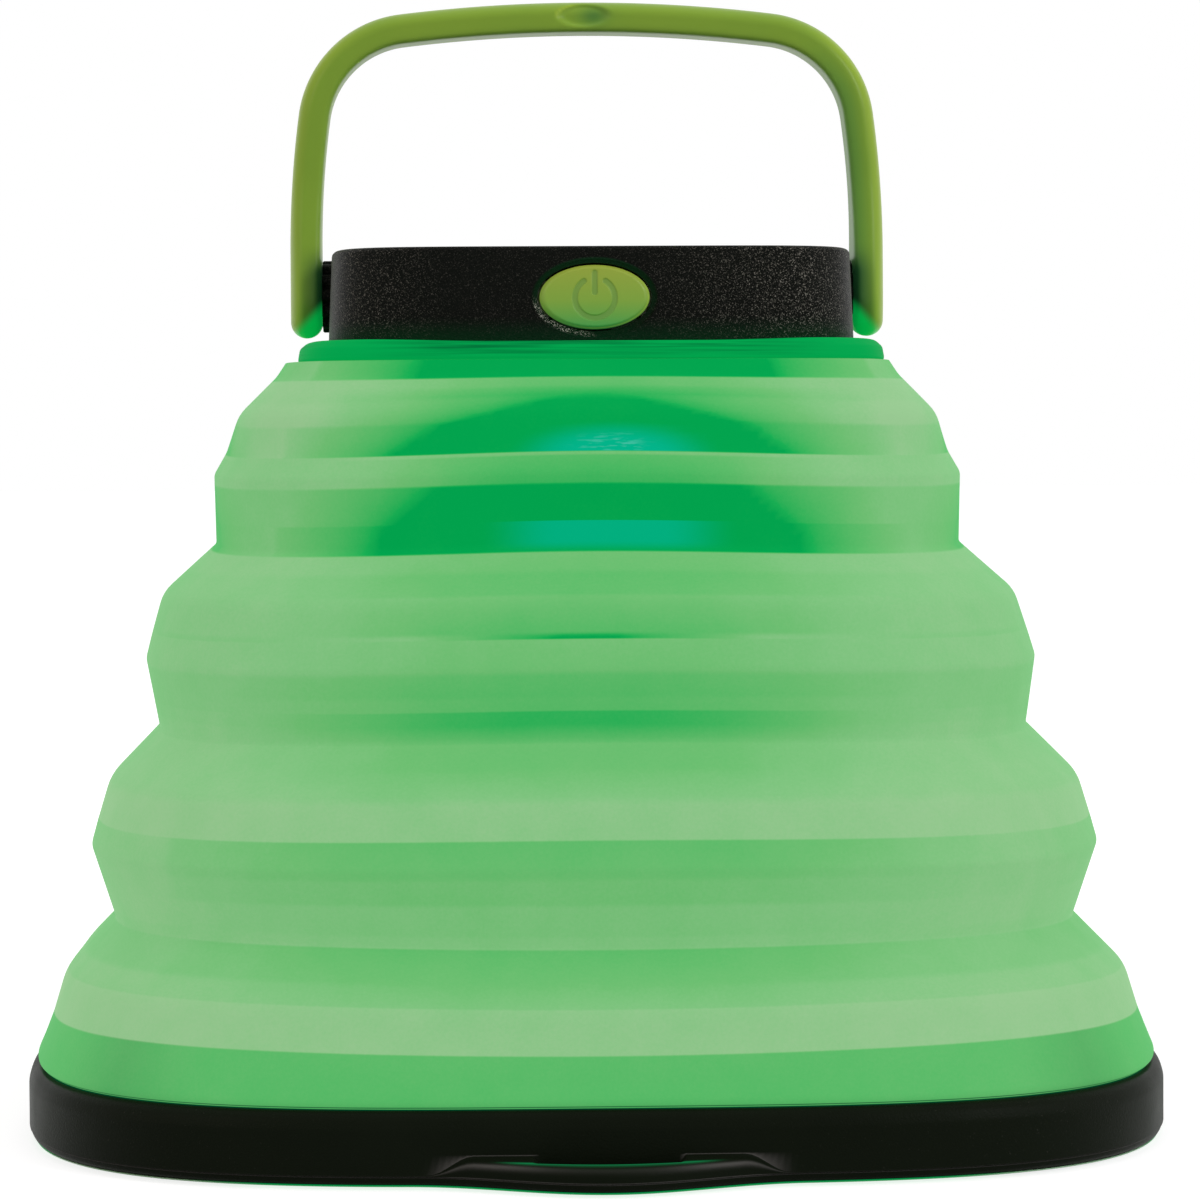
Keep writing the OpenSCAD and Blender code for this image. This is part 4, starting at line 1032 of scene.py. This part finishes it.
def handlePath():
    # middle line of the right half from the leg's foot to the crossbar's middle, as [x, z, turn in degrees]
    legX = handleHigh[0] - handle["slack"] - handle["thick"] / 2
    foot = handleLow[2]
    roundFoot = foot + handle["thick"] / 2 * (1 - np.cos(np.radians(np.linspace(4, 90, 12))))
    straight = np.concatenate([roundFoot, np.linspace(roundFoot[-1], pivotZ + handle["straight"], 16)[1:]])
    leg = np.stack([np.full(len(straight), legX), straight, np.zeros(len(straight))], 1)
    turn = np.linspace(0, handle["bendTurn"], 22)[1:]
    r = np.radians(turn)
    bend = np.stack([legX - handle["bendRadius"] * (1 - np.cos(r)),
                     straight[-1] + handle["bendRadius"] * np.sin(r), turn], 1)
    turn = np.linspace(handle["bendTurn"], handle["cornerEnd"], 40)[1:]
    r, r0 = np.radians(turn), math.radians(handle["bendTurn"])
    corner = np.stack([bend[-1, 0] - handle["cornerRadius"] * (math.cos(r0) - np.cos(r)),
                       bend[-1, 1] + handle["cornerRadius"] * (np.sin(r) - math.sin(r0)), turn], 1)
    turn = np.linspace(handle["cornerEnd"], 90, 58)[1:]
    r, r0 = np.radians(turn), math.radians(handle["cornerEnd"])
    barRadius = corner[-1, 0] / math.cos(r0)
    bar = np.stack([corner[-1, 0] - barRadius * (math.cos(r0) - np.cos(r)),
                    corner[-1, 1] + barRadius * (np.sin(r) - math.sin(r0)), turn], 1)
    return np.vstack([leg, bend, corner, bar])


def makeHandle():
    # an oval section carried along the path and its mirror image, with the dimple pressed into its front
    half = handlePath()
    path = np.vstack([half, (half * [-1, 1, -1] + [0, 0, 180])[-2::-1]])
    x, z, turn = path.T[:, :, None]
    turn = np.radians(turn)
    rise = z - pivotZ
    wide = np.where(rise < 0, 2 * np.sqrt(np.maximum(handle["endRadius"] ** 2 - rise ** 2, 0.04)),
                    handle["deep"] + (2 * handle["endRadius"] - handle["deep"]) * (1 - smooth(rise, 0, 13)))
    fall = handle["thick"] / 2 - (z - handleLow[2])
    thick = handle["thick"] * np.sqrt(1 - np.clip(fall / (handle["thick"] / 2), 0, 0.999) ** 2)
    around = evenTurns(handle["around"])[None]
    outside = np.cos(around) > 0
    outer, inner = squared(1, handle["outerPower"], around), squared(1, handle["innerPower"], around)
    across, along = np.where(outside, outer[0], inner[0]), np.where(outside, outer[1], inner[1])
    away = across * thick / 2
    y = along * wide / 2
    px = x + away * np.cos(turn)
    pz = z + away * np.sin(turn)
    front = smooth(-y, 0.6, 2.2) * (z > handle["barFrom"])
    reach = np.hypot((px + 0.3) / handle["dimpleHalf"], (away - 0.1) / handle["dimpleHigh"])
    pressed = (1 - smooth(reach, 0.72, 1.08)) * front
    y = y + handle["dimpleDeep"] * pressed
    # painted shade in the middle of the dimple and a painted highlight round its rim
    hollowShade = bump(px, 0.75, 1.5) * bump(away, 0.0, 1.0) * front
    rim = bump(reach, 1.0, 0.09) * smooth(-px, 0.6, 1.8) * smooth(away, -0.6, 0.6) * front
    # painted highlights on the legs' outside, and painted shade on the right leg's inner half
    onLeg = smooth(np.abs(px), 21, 28)
    bright = handle["dimpleRimHighlight"] * rim + handle["legOutsideHighlight"] * smooth(across, 0.05, 0.9) * onLeg
    leeShade = handle["legInnerShade"] * (1 - smooth(across, -0.8, 0.45)) * onLeg * (px > 0)
    marks = {"edge": bright, "hollowShade": 0.8 * hollowShade, "leeShade": leeShade}
    return addPiece("carryHandle", np.stack([px, y, pz], 2), "handle", handlePlastic(),
                    marks=marks, sharp=60)


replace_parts(makeHandle(), "handle")


def makePins():
    # the pins that the handle turns on
    turns = evenTurns(48)
    start, chamfer, radius = headHalf - handle["pinIn"], handle["pinChamfer"], handle["pinRadius"]
    for side, name in ((1, "pivotPinRight"), (-1, "pivotPinLeft")):
        rows = np.array([[start, radius - chamfer], [start + chamfer, radius], [legInner + 0.6, radius]])
        x, r = rows.T[:, :, None]
        grid = np.stack([side * x + 0 * turns, r * np.cos(turns), pivotZ + r * np.sin(turns)], 2)
        addPiece(name, grid, "handle", bpy.data.materials["handlePlastic"],
                 marks={"edge": 0.0, "hollowShade": 0.0})


makePins()
print("stage: handle")


def plainPlastic(name, tint, second, cell=0.6, depth=0.012, roughness=0.45):
    # moulded plastic or rubber with a fine grain and a slow drift between two tones
    made, tree, shader = newMaterial(name, Specular_IOR_Level=0.3)
    grain = useGroup(tree, wrinkleGrain, Cell=cell, Speckle=0.2)
    skin = mixed(tree, grain["Drift"], tint, second)
    feed(tree, shader, Base_Color=mixed(tree, grain["Sparkle"], skin, second))
    feed(tree, shader, Roughness=remap(tree, grain["Drift"], 0.2, 0.8, roughness, roughness + 0.15))
    addBump(tree, shader, grain["Height"], depth)
    return made


def drawnMetal(name, tint, dark, stretch):
    # metal with fine lines drawn along one direction, duller where it has been handled
    made, tree, shader = newMaterial(name, Metallic=1.0)
    lines = noise(tree, place(tree, stretch), 1.0, 4.0)[0]
    dull = noise(tree, place(tree), 0.4, 3.0)[0]
    feed(tree, shader, Base_Color=mixed(tree, lines, dark, tint))
    feed(tree, shader, Roughness=remap(tree, dull, 0.3, 0.7, 0.22, 0.42))
    addBump(tree, shader, lines, 0.01, 0.5)
    return made


def circuitBoard(name, mask, copper):
    # coated glass-fibre board: a woven ground under the coat, with tracks that run in steps
    made, tree, shader = newMaterial(name, Roughness=0.32, Specular_IOR_Level=0.5)
    spot = place(tree)
    weave = [addNode(tree, "ShaderNodeTexWave", {"Vector": spot, "Scale": 1.6, "Distortion": 0.4},
                     bands_direction=way).outputs[1] for way in "XY"]
    cloth = sums(tree, "MULTIPLY", *weave)
    tracks = addNode(tree, "ShaderNodeTexBrick", {"Vector": spot, "Scale": 0.32, "Mortar Size": 0.05,
                                                  "Brick Width": 1.7, "Row Height": 0.5}).outputs["Fac"]
    skin = mixed(tree, sums(tree, "MULTIPLY", cloth, 0.35), mask, tuple(0.6 * c for c in mask[:3]) + (1,))
    feed(tree, shader, Base_Color=mixed(tree, sums(tree, "MULTIPLY", tracks, 0.6), skin, copper))
    addBump(tree, shader, tracks, 0.02, 0.5)
    return made


def solarCell():
    # deep blue crystal with fine silver fingers, two bus bars and a slight change of blue from grain to grain
    made, tree, shader = newMaterial("crystalCell", Roughness=0.22, Specular_IOR_Level=0.2)
    spot = place(tree)
    x, y, _ = heights(tree)
    patches = addNode(tree, "ShaderNodeTexVoronoi", {"Vector": spot, "Scale": 0.35}).outputs["Color"]
    blue = mixed(tree, patches, colour(16, 22, 46), colour(30, 40, 78))
    fingers = sums(tree, "LESS_THAN", sums(tree, "PINGPONG", x, 0.75), 0.045)
    fromBar = sums(tree, "SUBTRACT", sums(tree, "ABSOLUTE", y), 8.0)
    bars = sums(tree, "LESS_THAN", sums(tree, "ABSOLUTE", fromBar), 0.45)
    silver = sums(tree, "MAXIMUM", fingers, bars)
    feed(tree, shader, Base_Color=mixed(tree, silver, blue, colour(176, 180, 186)), Metallic=silver)
    addBump(tree, shader, silver, 0.01, 0.3)
    return made


def warmPhosphor():
    # yellow resin over the light's chips, glowing green
    made, tree, shader = newMaterial("warmPhosphor", Roughness=0.5, Emission_Strength=1.2)
    grain = noise(tree, place(tree), 3.0, 3.0)[0]
    yellow = mixed(tree, grain, colour(232, 210, 90), colour(214, 188, 60))
    feed(tree, shader, Base_Color=yellow,
         Emission_Color=mixed(tree, grain, colour(120, 255, 170), colour(90, 240, 150)))
    return made


black, dark = colour(24, 25, 22), colour(38, 39, 36)
steel, dull = colour(196, 196, 192), colour(128, 128, 126)
white, cream = colour(224, 224, 218), colour(206, 206, 198)

# finishes of the solids that keep the shape they have, by the nodes that wear them
finishes = [
    (plainPlastic("clampPlastic", black, dark), ["shade_clamp"]),
    (drawnMetal("screwSteel", steel, dull, (0.8, 0.8, 6)),
     ["base_screws", "head_screws", "board_screws", "lamp_screws"]),
    (plainPlastic("gasketRubber", black, dark, 0.35, 0.02, 0.6), ["head_gasket"]),
    (plainPlastic("chassisPlastic", white, cream), ["chassis", "switch_plunger"]),
    (plainPlastic("postPlastic", white, cream, 0.9), ["lamp_post"]),
    (plainPlastic("lampDiffuser", colour(214, 230, 220), white, 0.4, 0.006, 0.3), ["lamp_cover"]),
    (circuitBoard("blueBoard", colour(20, 40, 92), colour(44, 70, 128)), ["panel_board"]),
    (circuitBoard("greenBoard", colour(22, 84, 46), colour(58, 128, 70)), ["main_board"]),
    (circuitBoard("whiteBoard", colour(222, 224, 220), colour(200, 204, 198)), ["led_boards"]),
    (solarCell(), ["solar_cells"]),
    (warmPhosphor(), ["leds"]),
    (plainPlastic("redWire", colour(176, 30, 26), colour(150, 26, 24), 0.3, 0.01, 0.35),
     ["solar_leads", "led_leads"]),
    (plainPlastic("blackWire", black, dark, 0.3, 0.01, 0.35), ["battery_leads"]),
    (plainPlastic("chipResin", dark, colour(54, 54, 52), 0.12, 0.01, 0.5), ["control_chips", "push_switch"]),
    (drawnMetal("socketSteel", steel, dull, (6, 0.8, 6)), ["charging_socket"]),
    (drawnMetal("batteryFoil", colour(186, 188, 190), colour(150, 152, 154), (2, 2, 2)), ["battery"]),
    (plainPlastic("padFoam", colour(62, 62, 66), colour(46, 46, 50), 0.8, 0.25, 0.8), ["battery_pad"]),
]
for material, nodes in finishes:
    for node in nodes:
        solid = bpy.data.objects[node]
        for holder in solid.material_slots:
            holder.material = material
print("stage: finishes of the other solids")


# plain studio: a key lamp in front to the right, a weaker one to the left, and white all round
studio = {
    "frontLeft": 1.3, "frontRight": 3.2, "left": 0.6, "right": 0.6, "top": 3.0,    # watts
    "surround": 0.3,
    "floorGlow": [0.8, 1.0],              # near the object and away from it
    "floorGlowOver": [90, 220],           # millimetres from the object's middle
    "floorHalf": 6.0, "floorDown": 0.0002,    # metres; just below the object's underside
}


def addSoftbox(name, location, target, size, power):
    # a rectangular lamp turned towards its target
    lamp = bpy.data.lights.new(name, "AREA")
    lamp.shape = "RECTANGLE"
    lamp.size, lamp.size_y = size
    lamp.energy = power
    box = bpy.data.objects.new(name, lamp)
    scene.collection.objects.link(box)
    away = np.array(target, float) - location
    box.location = location
    flat = math.hypot(away[0], away[1])
    box.rotation_euler = (math.atan2(flat, -away[2]), 0, math.atan2(away[1], away[0]) - math.pi / 2)
    return box


warm = (1, 0.84, 0.72)
middle = (0, 0, 0.05)
addSoftbox("frontLeftBox", (-0.72, -0.6, 0.5), middle, (0.3, 0.3), studio["frontLeft"]).data.color = warm
addSoftbox("frontRightBox", (0.72, -0.6, 0.5), middle, (0.3, 0.3), studio["frontRight"])
addSoftbox("leftBox", (-0.9, -0.1, 0.15), middle, (0.25, 0.5), studio["left"]).data.color = warm
addSoftbox("rightBox", (0.9, -0.1, 0.2), middle, (0.25, 0.5), studio["right"])
# the top lamp lights surfaces without being mirrored in the solar panel
addSoftbox("topBox", (0, 0.05, 0.95), (0, 0, 0.1), (0.9, 0.9), studio["top"]).visible_glossy = False


def seenDirectly(tree):
    # 1 for what the camera, a reflection or glass sees, 0 for light that falls on surfaces
    path = addNode(tree, "ShaderNodeLightPath").outputs
    mirrored = sums(tree, "MAXIMUM", path["Is Glossy Ray"], path["Is Transmission Ray"])
    return sums(tree, "MAXIMUM", path["Is Camera Ray"], mirrored)


def makeSurround():
    # white where it is seen, and a plain level of light on surfaces
    world = bpy.data.worlds.new("studioAir")
    world.use_nodes = True
    tree = world.node_tree
    tree.nodes.clear()
    seen = seenDirectly(tree)
    light = addNode(tree, "ShaderNodeBackground", {"Color": (1, 1, 1, 1), "Strength": studio["surround"]})
    shown = addNode(tree, "ShaderNodeBackground", {"Color": (1, 1, 1, 1), "Strength": 1.0})
    blend = addNode(tree, "ShaderNodeMixShader", {0: seen, 1: light.outputs[0], 2: shown.outputs[0]})
    addNode(tree, "ShaderNodeOutputWorld", {0: blend.outputs[0]})
    scene.world = world


def makeFloor():
    # a pale floor that keeps the object's shadow; what it shows of its own glow gets whiter outwards
    made, tree, shader = newMaterial("paleFloor", Roughness=0.9, Specular_IOR_Level=0.0)
    shader.inputs["Base Color"].default_value = (0.4, 0.4, 0.4, 1)
    shader.inputs["Emission Color"].default_value = (1, 1, 1, 1)
    reach = addNode(tree, "ShaderNodeVectorMath", {0: place(tree)}, operation="LENGTH").outputs["Value"]
    glow = remap(tree, reach, *studio["floorGlowOver"], *studio["floorGlow"])
    tree.links.new(sums(tree, "MULTIPLY", seenDirectly(tree), glow), shader.inputs["Emission Strength"])
    half, z = studio["floorHalf"], -studio["floorDown"]
    mesh = bpy.data.meshes.new("floor")
    corners = [(-half, -half, z), (half, -half, z), (half, half, z), (-half, half, z)]
    mesh.from_pydata(corners, [], [(0, 1, 2, 3)])
    mesh.materials.append(made)
    floor = bpy.data.objects.new("floor", mesh)
    scene.collection.objects.link(floor)


makeSurround()
makeFloor()

# millimetres, degrees (the roll in radians), and a lens for a sensor 36 wide
view = {"far": 450, "aside": 1.15, "z": 67.98, "downward": 2.077, "around": 1.75, "roll": -0.0055,
        "lens": 129.9, "sensor": 36}
lens = bpy.data.cameras.new("camera")
lens.sensor_width = view["sensor"]
lens.lens = view["lens"]
camera = bpy.data.objects.new("camera", lens)
scene.collection.objects.link(camera)
around = Matrix.Rotation(math.radians(-view["around"]), 4, "Z")
seat = Matrix.Translation([view["aside"] * mm, -view["far"] * mm, view["z"] * mm])
tilt = Matrix.Rotation(math.radians(90 - view["downward"]), 4, "X") @ Matrix.Rotation(view["roll"], 4, "Z")
camera.matrix_world = around @ seat @ tilt
scene.camera = camera
scene.view_settings.view_transform = "Standard"
